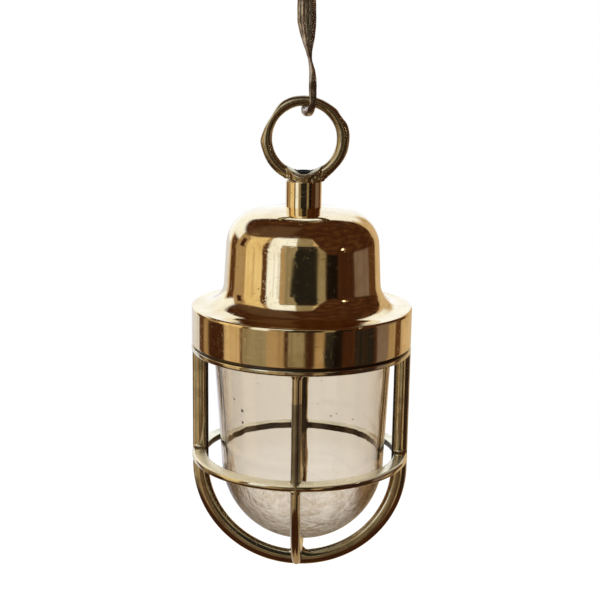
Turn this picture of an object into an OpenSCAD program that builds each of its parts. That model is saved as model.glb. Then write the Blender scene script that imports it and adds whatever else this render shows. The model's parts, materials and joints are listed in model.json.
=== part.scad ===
// Caged brass pendant light: a cast cap with a hanging ring on a forged hook, a thick jelly-jar
// glass and a screwed guard. Millimetres. +Z is up, +X is to the right of the front view, and the
// origin is the centre of the hook's eye. Heights named _z are measured from the seam between the
// cap and the guard, and rise() lifts them into place.

/* [Hook] */
// Bore of the eye that the light hangs from
eye_bore_d = 12; // [8:0.5:14]
// Metal round the eye's bore
eye_rim = 5; // [4:0.5:7]
// Thickness of the eye along its bore
eye_thick = 6; // [5:0.5:8]
// Eye centre down to the centre of the ring's bar
hook_drop = 76; // [66:1:110]
// Greatest width of the flattened leaf
leaf_w = 12.2; // [9:0.5:15]
// Width at the twist, seen from the front
waist_w = 2.7; // [2.5:0.1:5]
// Width of the strap that goes round the ring's bar
strap_w = 4.8; // [4:0.1:7]
// Thickness of that strap
strap_t = 3.6; // [3:0.1:5]
// Turn of the curl about the vertical
curl_turn = 20; // [0:1:24]
// Curl centre to the right of the eye
curl_shift = 2.4; // [0:0.1:3.5]
// Free gap between the hook and the ring's bar
hook_gap = 0.4; // [0.3:0.05:1]

/* [Ring and neck] */
// Inside diameter of the hanging ring
ring_inner_d = 41.5; // [36:0.5:60]
// Thickness of the ring's bar
bar_d = 8.4; // [6:0.2:10]
// Diameter of the turned neck
neck_d = 24; // [21:0.5:30]
// Height of the neck's top above the dome's shoulder
neck_h = 19.5; // [10:0.5:30]
// How far the ring's bar sinks into the neck
ring_sink = 1.7; // [1:0.1:3]
// Diameter of the saddle between the ring and the neck
saddle_d = 21; // [18:0.5:24]
// Radius of the saddle's rounded top, from front to back
saddle_round = 15; // [13:0.5:30]
// Bore for the cable through the neck and stem
cable_bore_d = 10.8; // [9:0.2:12]
// Diameter of the threaded stem below the neck
stem_d = 18; // [15:0.5:20]
// Length of the stem below the dome's shoulder
stem_h = 15; // [13:0.5:18]

/* [Cap] */
// Diameter of the flange and its band
flange_d = 150; // [146:1:160]
// Height of the band from the seam to the flange's top
band_h = 26; // [24:0.5:32]
// Rounding of the flange's top edge
edge_r = 1.5; // [1:0.5:4]
// Radius of the hollow between the flange and the dome
fillet_r = 16; // [3:0.5:16]
// Diameter of the dome where it leaves the flange
dome_base_d = 106.8; // [104:0.2:110]
// Diameter of the dome at the start of its shoulder
dome_top_d = 103; // [100:0.5:106]
// Radius of the dome's shoulder
shoulder_r = 24.5; // [20:0.5:34]
// Height of the dome's shoulder above the seam
cap_h = 91; // [86:0.5:110]
// How much higher the crown rises to the foot of the neck
crown_rise = 1.9; // [0.5:0.1:2.5]
// Wall of the casting
cap_wall = 3.2; // [2.5:0.1:4]
// Wall of the band outside the thread that the guard screws into
rim_wall = 5; // [4:0.25:6]

/* [Guard] */
// How far the guard stands out past the flange
guard_proud = 0.25; // [0:0.25:3]
// Thickness of the collar below the seam
collar_h = 5; // [4:0.5:8]
// Room between the spigot's rim and the flange above it
spigot_room = 3.2; // [2.5:0.1:4.5]
// Wall of the spigot
spigot_wall = 4; // [3:0.1:4.4]
// Thickness of the ledge that carries the glass
ledge_t = 4; // [3:0.5:6]
// Width of that ledge, from the spigot inwards
ledge_w = 3.1; // [2.6:0.1:3.6]
// Depth of a bar, from outside to inside
bar_depth = 11; // [9:0.5:12]
// Width of a bar, seen from outside
bar_width = 6.5; // [5:0.5:9]
// Rounding of a bar's edges
bar_round = 1.8; // [0.5:0.1:2.2]
// Seam down to the centre of the bottom arcs
arc_drop = 89.5; // [87:0.5:120]
// How deep the front hoop's foot is let into the top of the side hoop
foot_lap = 1.75; // [0.75:0.25:3]
// Seam down to the middle of the guard's ring
girdle_drop = 80.5; // [40:0.5:82]
// Height of the guard's ring
girdle_h = 5; // [4:0.5:8]
// Depth of the guard's ring, from outside to inside
girdle_depth = 10; // [8:0.5:10.5]
// Pitch of the guard's thread, which one turn lowers it by
thread_pitch = 4; // [2:0.5:6]

/* [Glass] */
// How much smaller the jar's radius is at its round bottom than at its lip
glass_taper = 5.5; // [2:0.5:9]
// Centre of the jar's round bottom above the centre of the bottom arcs
glass_lift = 5.5; // [3:0.5:20]
// Wall of the jar
glass_wall = 4.5; // [3:0.1:6]
// Thickness of the lip
lip_t = 5; // [4:0.1:5.5]
// Thickness of the gasket on top of the lip
top_gasket_t = 3.5; // [2.5:0.1:4.5]
// Thickness of the gasket under the lip
low_gasket_t = 2; // [1.5:0.1:2.5]

/* [Lampholder] */
// Outside diameter of the porcelain body
holder_d = 43; // [40:0.5:50]
// Inside diameter of the screw shell
shell_d = 26.6; // [26.6:0.1:28]
// Length of the screw shell
shell_h = 20; // [18:0.5:22]
// Room for the terminals between the web and the bracket
terminal_room = 8; // [7.5:0.5:11]
// Lug screws out from the side of the porcelain
lug_reach = 5; // [5:0.25:6.5]
// Distance between the two bracket screws
bracket_pitch = 72; // [68:0.5:74]
// Thickness of the bracket's plate
bracket_t = 1.5; // [1:0.1:2.5]
// Crown's top down to the bracket's top face
bracket_drop = 24.5; // [24:0.5:28]

/* [Fasteners] */
// Diameter of the bracket, lug and earth screws
screw_d = 4; // [3.5:0.1:5]
// Diameter of the contact and terminal screws
small_screw_d = 3; // [2.5:0.1:3.2]
// Lock nut across its flats
locknut_af = 27; // [25:0.5:30]
// Height of the lock nut
locknut_h = 6.5; // [5:0.5:7]

/* [Fits] */
// Gap at the seam and between seats on different bodies
seat_gap = 0.3; // [0.2:0.05:0.6]
// Radial gap between a fixed pin, stem or bush and its hole
pin_gap = 0.1; // [0.05:0.05:0.2]
// Radial gap between the guard's thread and the cap's
thread_gap = 0.3; // [0.3:0.05:0.6]
// Radial gap between the jar and the spigot or ledge round it
jar_gap = 0.6; // [0.4:0.05:0.8]

/* [Hidden] */
$fn = 96;

// Overlap that makes cuts run past a face
cut = 1;

// Ring and neck
ring_in_r = ring_inner_d / 2;
ring_out_r = ring_in_r + bar_d;
ring_mid_r = ring_in_r + bar_d / 2;
neck_top_z = cap_h + neck_h;
ring_z = neck_top_z + ring_out_r - ring_sink;
bar_z = ring_z + ring_mid_r;
seam_lift = -hook_drop - bar_z;

// Hook: the curl is wide enough for the bar, which bends away from a strap set askew, and the strap
// reaches further to the side where the bar meets it as the light swings
eye_r = eye_bore_d / 2 + eye_rim;
strap_reach = curl_shift + strap_w / 2 + bar_d / 2 * sin(curl_turn);
bar_dip = ring_mid_r - sqrt(pow(ring_mid_r, 2) - pow(strap_reach, 2));
bar_room = bar_d / 2 + bar_dip + hook_gap;
curl_in_r = (bar_room + strap_w / 2 * sin(curl_turn)) / cos(curl_turn);
curl_mid_r = curl_in_r + strap_t / 2;
curl_z = -hook_drop - bar_room + curl_in_r;
curl_tip_angle = 96;
strap_round = min(1.2, strap_t / 3, strap_w / 3);
riser_h = 9;
riser_x = curl_shift + curl_mid_r * sin(curl_turn);
riser_y = -curl_mid_r * cos(curl_turn);
leaf_top = eye_r - eye_rim / 2;
leaf_len = -curl_z - riser_h - leaf_top;

// Cable inlet
grommet_rim = 1.2;
grommet_rim_t = 2;
grommet_wall = 1.4;
grommet_h = 16;
grommet_in_r = cable_bore_d / 2 - pin_gap - grommet_wall;
saddle_r = ring_in_r + 0.4;
saddle_low_z = ring_z - saddle_r;
spot_z = saddle_low_z - grommet_rim_t;

// Stem stack below the crown
crown_in_z = cap_h - cap_wall;
washer_t = 1.5;
seal_t = 2;
washer_lap = 7;
washer_d = stem_d + 2 * washer_lap;
stem_hole_d = stem_d + 2 * pin_gap;

// Cap
flange_r = flange_d / 2;
shoulder_z = cap_h - shoulder_r;
crown_z = cap_h + crown_rise;
flange_in_z = band_h - cap_wall;

// Bracket and its bosses
bracket_z = cap_h - bracket_drop;
plate_z = bracket_z - bracket_t;
boss_d = screw_d * 2.5;
boss_hole_h = 12;
earth_hole_h = 10;
hole_end = 2;
hole_gap = 0.05;
head_d = screw_d * 1.9;
head_h = screw_d * 0.6;
bracket_w = boss_d + 8;
wire_hole_d = 18;

// Lampholder, stacked down from the bracket's plate
web_t = 4;
recess_z = plate_z - terminal_room;
web_z = recess_z - web_t;
mouth_rim = 2;
holder_z = web_z - shell_h - mouth_rim;
holder_h = plate_z - holder_z;
recess_r = 17;
lug_pitch = holder_d + 2 * lug_reach;
lug_d = screw_d * 2.4;
lug_t = 6;
shell_t = 0.6;
shell_step = 1.2;
shell_out_r = shell_d / 2 + shell_t;
shell_floor_r = shell_d / 2 - 2.8;
cavity_r = shell_out_r + 0.5;

// Contacts and terminals
contact_drop = 4;
shell_neck_h = shell_t + contact_drop + 1;
live_x = -7;
neutral_x = 8;
small_hole_r = small_screw_d / 2 + pin_gap;
small_head_d = small_screw_d * 1.8;
small_head_h = 1.6;
tab_rim = 0.6;
terminal_size = 8.6;
terminal_h = 5.6;
terminal_hole_h = 2;
contact_screw_h = shell_t + web_t + terminal_hole_h * 0.8;
wire_bore_d = 3.4;
nut_af = screw_d * 1.75;
nut_h = screw_d * 0.8;

// Earth screw, between two arms of the bracket
earth_boss_z = bracket_z + 4;
earth_turn = 45;
earth_washer_d = screw_d * 2.25;
earth_washer_t = 1;

// Guard and jar, stacked down from the flange's underside
thread_r = flange_r - rim_wall;
thread_depth = thread_pitch * 0.3;
guard_r = flange_r + guard_proud;
spigot_r = thread_r - thread_gap;
spigot_in_r = spigot_r - spigot_wall;
spigot_top_z = flange_in_z - spigot_room;
collar_top_z = -seat_gap;
collar_low_z = collar_top_z - collar_h;
top_gasket_z = flange_in_z - top_gasket_t;
top_gasket_w = 5.5;
jar_top_z = top_gasket_z - seat_gap;
lip_low_z = jar_top_z - lip_t;
lip_r = spigot_in_r - jar_gap;
low_gasket_z = lip_low_z - low_gasket_t;
ledge_top_z = low_gasket_z - seat_gap;
ledge_in_r = spigot_in_r - ledge_w;
gasket_inset = 0.3;
bar_in_r = guard_r - bar_depth;
lap_r = guard_r - bar_depth / 2;
hoop_step = bar_depth - foot_lap;
foot_z = -arc_drop - guard_r + hoop_step;
jar_top_r = ledge_in_r - jar_gap;
jar_low_r = jar_top_r - glass_taper;
jar_drop = arc_drop - glass_lift;

// Everything below the hook is drawn from the seam and set in its place
module rise() {
    translate([0, 0, seam_lift]) children();
}

// A flat shape with round corners, from corner [x0, y0] to [x1, y1]
module soft_rect(x0, y0, x1, y1, r) {
    translate([x0 + r, y0]) square([x1 - x0 - 2 * r, y1 - y0]);
    translate([x0, y0 + r]) square([x1 - x0, y1 - y0 - 2 * r]);
    for (x = [x0 + r, x1 - r]) {
        for (y = [y0 + r, y1 - r]) {
            translate([x, y]) circle(r = r, $fn = 32);
        }
    }
}

// A ring of rectangular section between two radii, rising from z by h
module band_ring(r_in, r_out, z, h) {
    rotate_extrude() translate([r_in, z]) square([r_out - r_in, h]);
}

module pan_screw(d, head, head_h, length) {
    translate([0, 0, -head_h]) cylinder(d = head, h = head_h);
    cylinder(d = d, h = length);
}

module slotted_pan_screw(d, head, head_h, length) {
    difference() {
        pan_screw(d, head, head_h, length);
        translate([-head / 2 - cut, -d / 8, -head_h - cut]) cube([head + 2 * cut, d / 4, head_h / 2 + cut]);
    }
}

// Hook
// Stations down the forged leaf: across, back, height, width, depth and turn about the vertical
function leaf_stations() = [
    [0, 0, -leaf_top, eye_r * 1.1, eye_thick, 0],
    [0, 0, -leaf_top - leaf_len * 0.1, leaf_w * 1.02, eye_thick, 0],
    [riser_x * 0.02, 0, -leaf_top - leaf_len * 0.25, leaf_w, eye_thick, 0],
    [riser_x * 0.1, riser_y * 0.08, -leaf_top - leaf_len * 0.45, leaf_w * 0.82, eye_thick * 0.9, 0],
    [riser_x * 0.25, riser_y * 0.2, -leaf_top - leaf_len * 0.55, leaf_w * 0.54, strap_w, 0],
    [riser_x * 0.5, riser_y * 0.4, -leaf_top - leaf_len * 0.72, waist_w, strap_w, 0],
    [riser_x * 0.78, riser_y * 0.75, -leaf_top - leaf_len * 0.86, waist_w * 1.4, strap_t * 1.15, 0],
    [riser_x, riser_y, -leaf_top - leaf_len, strap_w * 0.98, strap_t * 0.98, curl_turn],
    [riser_x, riser_y, -leaf_top - leaf_len - riser_h / 2, strap_w * 0.9, strap_t * 0.9, curl_turn]];

// Points round one station, squarer than an ellipse
leaf_sides = 24;
leaf_square = 0.7;
function bulge(v) = sign(v) * pow(abs(v), leaf_square);
function leaf_ring(s) = [for (i = [0 : leaf_sides - 1])
    let (a = 360 * i / leaf_sides, px = s[3] / 2 * bulge(cos(a)), py = s[4] / 2 * bulge(sin(a)))
    [s[0] + px * cos(s[5]) - py * sin(s[5]), s[1] + px * sin(s[5]) + py * cos(s[5]), s[2]]];

// A closed skin through rings of equal count, given from the top down
module loft(rings) {
    n = len(rings[0]);
    last = len(rings) - 1;
    points = [for (ring = rings) each ring];
    sides = [for (k = [0 : last - 1]) for (i = [0 : n - 1])
        let (j = (i + 1) % n, a = k * n + i, b = k * n + j, c = a + n, d = b + n)
        each [[a, b, d], [a, d, c]]];
    top_face = [for (i = [n - 1 : -1 : 0]) i];
    low_face = [for (i = [0 : n - 1]) last * n + i];
    polyhedron(points, concat([top_face], sides, [low_face]), convexity = 4);
}

module suspension_hook() {
    color("#3a2f26") difference() {
        union() {
            rotate([90, 0, 0]) cylinder(r = eye_r, h = eye_thick, center = true);
            loft([for (s = leaf_stations()) leaf_ring(s)]);
            translate([curl_shift, 0, curl_z]) rotate([0, 0, curl_turn]) curl();
        }
        rotate([90, 0, 0]) cylinder(d = eye_bore_d, h = eye_thick + 2 * cut, center = true);
    }
}

// The strap drops in front of the bar, goes under it and ends in a round tip behind it
module curl() {
    r0 = curl_in_r;
    r1 = curl_in_r + strap_t;
    translate([0, -curl_mid_r, 0]) linear_extrude(riser_h)
        soft_rect(-strap_w / 2, -strap_t / 2, strap_w / 2, strap_t / 2, strap_round);
    rotate([0, 90, 0]) rotate([0, 0, -90]) rotate_extrude(angle = 90 + curl_tip_angle)
        soft_rect(r0, -strap_w / 2, r1, strap_w / 2, strap_round);
    rotate([curl_tip_angle, 0, 0]) translate([0, 0, -curl_mid_r])
        cylinder(d = strap_w, h = strap_t - 0.2, center = true);
}

// The ring's round bar, before the cable's bore parts it at its foot
module ring_bar() {
    translate([0, 0, ring_z]) rotate([90, 0, 0])
        rotate_extrude() translate([ring_mid_r, 0]) circle(d = bar_d);
}

module cable_bore() {
    stem_low_z = cap_h - stem_h - cut;
    translate([0, 0, stem_low_z]) cylinder(d = cable_bore_d, h = ring_z - stem_low_z);
    translate([0, 0, spot_z]) cylinder(d = cable_bore_d + 2 * grommet_rim + 2 * pin_gap, h = ring_z - spot_z);
}

// Cast ring, whose two ends are brazed into the neck's saddle
module hanging_ring() {
    color("#b08d4f") rise() difference() {
        ring_bar();
        cable_bore();
    }
}

// Turned neck with the ring's saddle above it and the threaded stem below
module neck_stem() {
    color("#b5924f") rise() difference() {
        union() {
            translate([0, 0, crown_z]) cylinder(d = neck_d, h = neck_top_z - crown_z);
            intersection() {
                translate([0, 0, neck_top_z - cut]) cylinder(d = saddle_d, h = ring_in_r);
                translate([0, 0, ring_z]) rotate([90, 0, 0])
                    rotate_extrude() translate([saddle_r + saddle_round, 0]) circle(r = saddle_round);
            }
            translate([0, 0, cap_h - stem_h]) cylinder(d = stem_d, h = stem_h + crown_rise + cut);
        }
        ring_bar();
        cable_bore();
    }
}

module cable_grommet() {
    color("#1c1b1a") rise() difference() {
        union() {
            translate([0, 0, spot_z - grommet_h]) cylinder(d = cable_bore_d - 2 * pin_gap, h = grommet_h);
            translate([0, 0, spot_z]) cylinder(d = cable_bore_d + 2 * grommet_rim, h = grommet_rim_t);
        }
        translate([0, 0, spot_z - grommet_h - cut])
            cylinder(r = grommet_in_r, h = grommet_h + grommet_rim_t + 2 * cut);
    }
}

// Half section of the dome, drawn in by inset
module dome_section(inset) {
    base_r = dome_base_d / 2 - inset;
    top_r = dome_top_d / 2 - inset;
    flat_r = dome_top_d / 2 - shoulder_r;
    polygon([[0, 0], [base_r, 0], [base_r, band_h], [top_r, shoulder_z], [0, shoulder_z]]);
    intersection() {
        translate([flat_r, shoulder_z]) circle(r = shoulder_r - inset);
        translate([0, shoulder_z - cut]) square([flange_r, shoulder_r + 2 * cut]);
    }
    translate([0, shoulder_z - cut]) square([flat_r, shoulder_r - inset + cut]);
}

// Half section of the low cone from the shoulder up to the foot of the neck
module crown_section() {
    flat_r = dome_top_d / 2 - shoulder_r;
    translate([0, cap_h - cap_wall / 2])
        polygon([[0, 0], [flat_r, 0], [flat_r, cap_wall / 2], [neck_d / 2, cap_wall / 2 + crown_rise],
                 [0, cap_wall / 2 + crown_rise]]);
}

// Half section of the whole cap before it is hollowed
module cap_section() {
    base_r = dome_base_d / 2;
    dome_section(0);
    crown_section();
    square([flange_r, band_h - edge_r]);
    square([flange_r - edge_r, band_h]);
    translate([flange_r - edge_r, band_h - edge_r]) circle(r = edge_r, $fn = 48);
    difference() {
        translate([base_r - cut, band_h - cut]) square([fillet_r + cut, fillet_r + cut]);
        translate([base_r + fillet_r, band_h + fillet_r]) circle(r = fillet_r, $fn = 64);
    }
}

// Rings of 45-degree grooves, one pitch apart, cut outwards or inwards from radius r
module thread_grooves(r, way) {
    for (z = [thread_pitch : thread_pitch : spigot_top_z - thread_depth]) {
        rotate_extrude() polygon([[r - way * cut, z - thread_depth - cut], [r + way * thread_depth, z],
                                  [r - way * cut, z + thread_depth + cut]]);
    }
}

// A place on the bracket screws' circle, at an angle and height z
module boss_place(angle, z) {
    rotate([0, 0, angle]) translate([bracket_pitch / 2, 0, z]) children();
}

// Boss that reaches from the crown down to height z
module cap_boss(angle, z) {
    intersection() {
        boss_place(angle, z) cylinder(d = boss_d, h = cap_h);
        rotate_extrude() intersection() {
            dome_section(cap_wall / 2);
            square([flange_r, cap_h]);
        }
    }
}

module boss_hole(angle, z, depth) {
    boss_place(angle, z - cut) cylinder(d = screw_d + 2 * hole_gap, h = depth + cut);
}

module dome_cap() {
    color("#b5924f") rise() difference() {
        union() {
            difference() {
                rotate_extrude() intersection() {
                    cap_section();
                    square([flange_r + cut, crown_z + cut]);
                }
                translate([0, 0, -cut]) cylinder(r = thread_r, h = flange_in_z + cut);
                thread_grooves(thread_r, 1);
                rotate_extrude() intersection() {
                    dome_section(cap_wall);
                    square([flange_r, cap_h]);
                }
            }
            for (angle = [0, 180]) cap_boss(angle, bracket_z);
            cap_boss(earth_turn, earth_boss_z);
        }
        cylinder(d = stem_hole_d, h = crown_z + cut);
        for (angle = [0, 180]) boss_hole(angle, bracket_z, boss_hole_h);
        boss_hole(earth_turn, earth_boss_z, earth_hole_h);
    }
}

// Stem stack: seal, washer and lock nut hold the neck to the crown
module neck_seal() {
    color("#2b2926") rise() band_ring(stem_hole_d / 2, washer_d / 2, crown_in_z - seal_t, seal_t);
}

module neck_washer() {
    color("#b9b6ad") rise()
        band_ring(stem_hole_d / 2, washer_d / 2, crown_in_z - seal_t - washer_t, washer_t);
}

module neck_locknut() {
    nut_z = crown_in_z - seal_t - washer_t - locknut_h;
    color("#a98a4c") rise() difference() {
        translate([0, 0, nut_z]) cylinder(d = locknut_af / cos(30), h = locknut_h, $fn = 6);
        translate([0, 0, nut_z - cut]) cylinder(d = stem_hole_d, h = locknut_h + 2 * cut);
    }
}

module upper_gasket() {
    color("#24211f") rise()
        band_ring(lip_r - gasket_inset - top_gasket_w, lip_r - gasket_inset, top_gasket_z, top_gasket_t);
}

// Bracket: one arm to each boss and a cross arm for the lampholder's lugs
module holder_bracket() {
    color("#b9b6ad") rise() translate([0, 0, plate_z]) linear_extrude(bracket_t) difference() {
        union() {
            square([bracket_pitch, bracket_w], center = true);
            square([bracket_w, lug_pitch], center = true);
            for (side = [-1, 1]) {
                translate([side * bracket_pitch / 2, 0]) circle(d = bracket_w);
                translate([0, side * lug_pitch / 2]) circle(d = bracket_w);
            }
            circle(d = wire_hole_d + bracket_w);
        }
        circle(d = wire_hole_d);
        for (side = [-1, 1]) {
            translate([side * bracket_pitch / 2, 0]) circle(d = screw_d + 2 * pin_gap);
            translate([0, side * lug_pitch / 2]) circle(d = screw_d + 2 * pin_gap);
        }
    }
}

module bracket_screws() {
    color("#c9c4b8") rise() for (side = [-1, 1]) {
        translate([side * bracket_pitch / 2, 0, plate_z])
            slotted_pan_screw(screw_d, head_d, head_h, bracket_t + boss_hole_h - hole_end);
    }
}

module holder_screws() {
    color("#c9c4b8") rise() for (side = [-1, 1]) {
        translate([0, side * lug_pitch / 2, plate_z - lug_t])
            slotted_pan_screw(screw_d, head_d, head_h, lug_t + bracket_t + nut_h + 1);
    }
}

module holder_nuts() {
    color("#c9c4b8") rise() for (side = [-1, 1]) {
        translate([0, side * lug_pitch / 2, bracket_z]) difference() {
            cylinder(d = nut_af / cos(30), h = nut_h, $fn = 6);
            translate([0, 0, -cut]) cylinder(d = screw_d + 2 * hole_gap, h = nut_h + 2 * cut);
        }
    }
}

// Lampholder
module holder_body() {
    color("#e8e2d4") rise() difference() {
        union() {
            translate([0, 0, holder_z]) cylinder(d = holder_d, h = holder_h);
            for (side = [-1, 1]) {
                translate([0, side * lug_pitch / 2, plate_z - lug_t]) cylinder(d = lug_d, h = lug_t);
                translate([-lug_d / 2, min(0, side * lug_pitch / 2), plate_z - lug_t])
                    cube([lug_d, lug_pitch / 2, lug_t]);
            }
        }
        translate([0, 0, holder_z - cut]) cylinder(r = cavity_r, h = web_z - holder_z + cut);
        translate([0, 0, recess_z]) cylinder(r = recess_r, h = holder_h);
        for (x = [live_x, neutral_x]) {
            translate([x, 0, web_z - cut]) cylinder(r = small_hole_r, h = web_t + 2 * cut);
        }
        for (side = [-1, 1]) {
            translate([0, side * lug_pitch / 2, plate_z - lug_t - cut])
                cylinder(d = screw_d + 2 * pin_gap, h = lug_t + 2 * cut);
        }
    }
}

module screw_shell() {
    floor_z = web_z - shell_t;
    tab_w = small_head_d + 2 * tab_rim;
    tab_x = neutral_x - tab_w / 2;
    color("#c8a559") rise() difference() {
        union() {
            band_ring(shell_d / 2, shell_out_r, web_z - shell_h, shell_h);
            band_ring(shell_d / 2 - shell_step, shell_out_r, web_z - shell_neck_h, shell_neck_h);
            band_ring(shell_floor_r, shell_d / 2 + shell_t / 2, floor_z, shell_t);
            translate([tab_x, -tab_w / 2, floor_z]) cube([shell_floor_r + shell_t - tab_x, tab_w, shell_t]);
        }
        translate([neutral_x, 0, floor_z - cut]) cylinder(r = small_hole_r, h = shell_t + 2 * cut);
    }
}

// Bent tongue: its root is screwed to the web and its nose waits on the bulb's axis
module centre_contact() {
    root_x = live_x - small_head_d / 2 - tab_rim;
    bend_x = live_x + small_head_d / 2 + tab_rim;
    knee_x = -1;
    nose_x = 3;
    tongue_w = 5;
    color("#c48a4a") rise() difference() {
        translate([0, tongue_w / 2, web_z]) rotate([90, 0, 0]) linear_extrude(tongue_w)
            polygon([[root_x, 0], [root_x, -shell_t], [bend_x, -shell_t], [knee_x, -shell_t - contact_drop],
                     [nose_x, -shell_t - contact_drop], [nose_x, -contact_drop],
                     [knee_x + shell_t / 2, -contact_drop], [bend_x + shell_t / 2, 0]]);
        translate([live_x, 0, web_z - shell_t - cut]) cylinder(r = small_hole_r, h = shell_t + 2 * cut);
    }
}

module contact_screws() {
    color("#c8a559") rise() for (x = [live_x, neutral_x]) {
        translate([x, 0, web_z - shell_t])
            slotted_pan_screw(small_screw_d, small_head_d, small_head_h, contact_screw_h);
    }
}

module terminal(x) {
    rise() translate([x, 0, recess_z]) difference() {
        linear_extrude(terminal_h) square(terminal_size, center = true);
        translate([0, 0, -cut]) cylinder(r = small_screw_d / 2 + hole_gap, h = terminal_hole_h + cut);
        translate([0, 0, terminal_h / 2 + 0.6]) rotate([90, 0, 0])
            cylinder(d = wire_bore_d, h = terminal_size + 2 * cut, center = true);
        translate([0, 0, terminal_h / 2]) cylinder(r = small_screw_d / 2 + hole_gap, h = terminal_h);
    }
}

module live_terminal() {
    color("#c8a559") terminal(live_x);
}

module neutral_terminal() {
    color("#c8a559") terminal(neutral_x);
}

module terminal_screws() {
    color("#c9c4b8") rise() for (x = [live_x, neutral_x]) {
        translate([x, 0, recess_z + terminal_h]) rotate([180, 0, 0])
            slotted_pan_screw(small_screw_d, small_head_d, 1.4, 1);
    }
}

module earth_screw() {
    color("#c8a559") rise() boss_place(earth_turn, earth_boss_z - earth_washer_t)
        slotted_pan_screw(screw_d, head_d, head_h, earth_washer_t + earth_hole_h - hole_end);
}

module earth_washer() {
    color("#c8a559") rise() boss_place(earth_turn, earth_boss_z - earth_washer_t)
        band_ring(screw_d / 2 + pin_gap, earth_washer_d / 2, 0, earth_washer_t);
}

// Glass and its seat
module lower_gasket() {
    color("#6d5a42") rise()
        band_ring(ledge_in_r, spigot_in_r - gasket_inset, low_gasket_z, low_gasket_t);
}

// Half section of the jar's outside or inside, without its lip
module jar_section(top_r, low_r, top_z) {
    polygon([[0, top_z], [top_r, top_z], [top_r, lip_low_z], [low_r, -jar_drop], [0, -jar_drop]]);
    intersection() {
        translate([0, -jar_drop]) circle(r = low_r);
        translate([0, -jar_drop - low_r]) square([low_r, low_r + cut]);
    }
}

module glass_jar() {
    color("#dfeae6", 0.35) rise() difference() {
        union() {
            rotate_extrude() jar_section(jar_top_r, jar_low_r, jar_top_z);
            translate([0, 0, lip_low_z]) cylinder(r = lip_r, h = lip_t);
        }
        rotate_extrude() jar_section(jar_top_r - glass_wall, jar_low_r - glass_wall, jar_top_z + cut);
    }
}

// Guard
module guard_collar() {
    color("#9c7c45") rise() difference() {
        rotate_extrude() {
            translate([bar_in_r, collar_low_z]) square([guard_r - bar_in_r, collar_h]);
            translate([bar_in_r, collar_low_z]) square([spigot_r - bar_in_r, ledge_top_z - collar_low_z]);
            translate([spigot_in_r, collar_low_z]) square([spigot_wall, spigot_top_z - collar_low_z]);
            translate([ledge_in_r, ledge_top_z - ledge_t]) square([spigot_r - ledge_in_r, ledge_t]);
        }
        thread_grooves(spigot_r, -1);
    }
}

// The girdle is let into the outside of each bar by half the bar's depth
module guard_girdle() {
    color("#9c7c45") rise() difference() {
        rotate_extrude()
            soft_rect(guard_r - girdle_depth, -girdle_drop - girdle_h / 2,
                      guard_r, -girdle_drop + girdle_h / 2, min(bar_round, girdle_h / 3));
        for (a = [0 : 90 : 270]) {
            rotate([0, 0, a]) translate([lap_r, -bar_width / 2, -girdle_drop - girdle_h])
                cube([bar_depth, bar_width, 2 * girdle_h]);
        }
    }
}

// One hoop: two straight legs, a quarter circle below each, and between these a foot of twice the step
module hoop(step) {
    for (side = [0, 180]) {
        rotate([0, 0, side]) translate([0, 0, -arc_drop]) {
            linear_extrude(arc_drop + collar_low_z)
                soft_rect(bar_in_r, -bar_width / 2, guard_r, bar_width / 2, bar_round);
            translate([step, 0, 0]) rotate([90, 0, 0]) rotate([0, 0, -90]) rotate_extrude(angle = 90)
                soft_rect(bar_in_r - step, -bar_width / 2, guard_r - step, bar_width / 2, bar_round);
        }
    }
    if (step > 0) {
        translate([-step, 0, -arc_drop]) rotate([0, 90, 0]) linear_extrude(2 * step)
            soft_rect(bar_in_r - step, -bar_width / 2, guard_r - step, bar_width / 2, bar_round);
    }
}

// Slots in a hoop's legs that hold the girdle
module girdle_slots() {
    for (side = [0, 180]) {
        rotate([0, 0, side]) translate([bar_in_r - cut, -bar_width, -girdle_drop - girdle_h / 2])
            cube([lap_r - bar_in_r + cut, 2 * bar_width, girdle_h]);
    }
}

// The side hoop has a seat across its foot, in which the front hoop is brazed
module side_hoop() {
    color("#9c7c45") rise() difference() {
        hoop(0);
        girdle_slots();
        translate([-bar_width / 2, -bar_width, foot_z])
            cube([bar_width, 2 * bar_width, bar_depth]);
    }
}

module front_hoop() {
    color("#9c7c45") rise() rotate([0, 0, 90]) difference() {
        hoop(hoop_step);
        girdle_slots();
    }
}

suspension_hook();
hanging_ring();
neck_stem();
cable_grommet();
dome_cap();
neck_seal();
neck_washer();
neck_locknut();
upper_gasket();
holder_bracket();
bracket_screws();
holder_screws();
holder_nuts();
holder_body();
screw_shell();
centre_contact();
contact_screws();
live_terminal();
neutral_terminal();
terminal_screws();
earth_screw();
earth_washer();
lower_gasket();
glass_jar();
guard_collar();
guard_girdle();
side_hoop();
front_hoop();
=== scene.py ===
"""A caged brass pendant light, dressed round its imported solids. Metres, +Z up, the front faces -Y."""
import json
import math

import bmesh
import bpy
from mathutils import Matrix, Vector, noise


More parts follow.
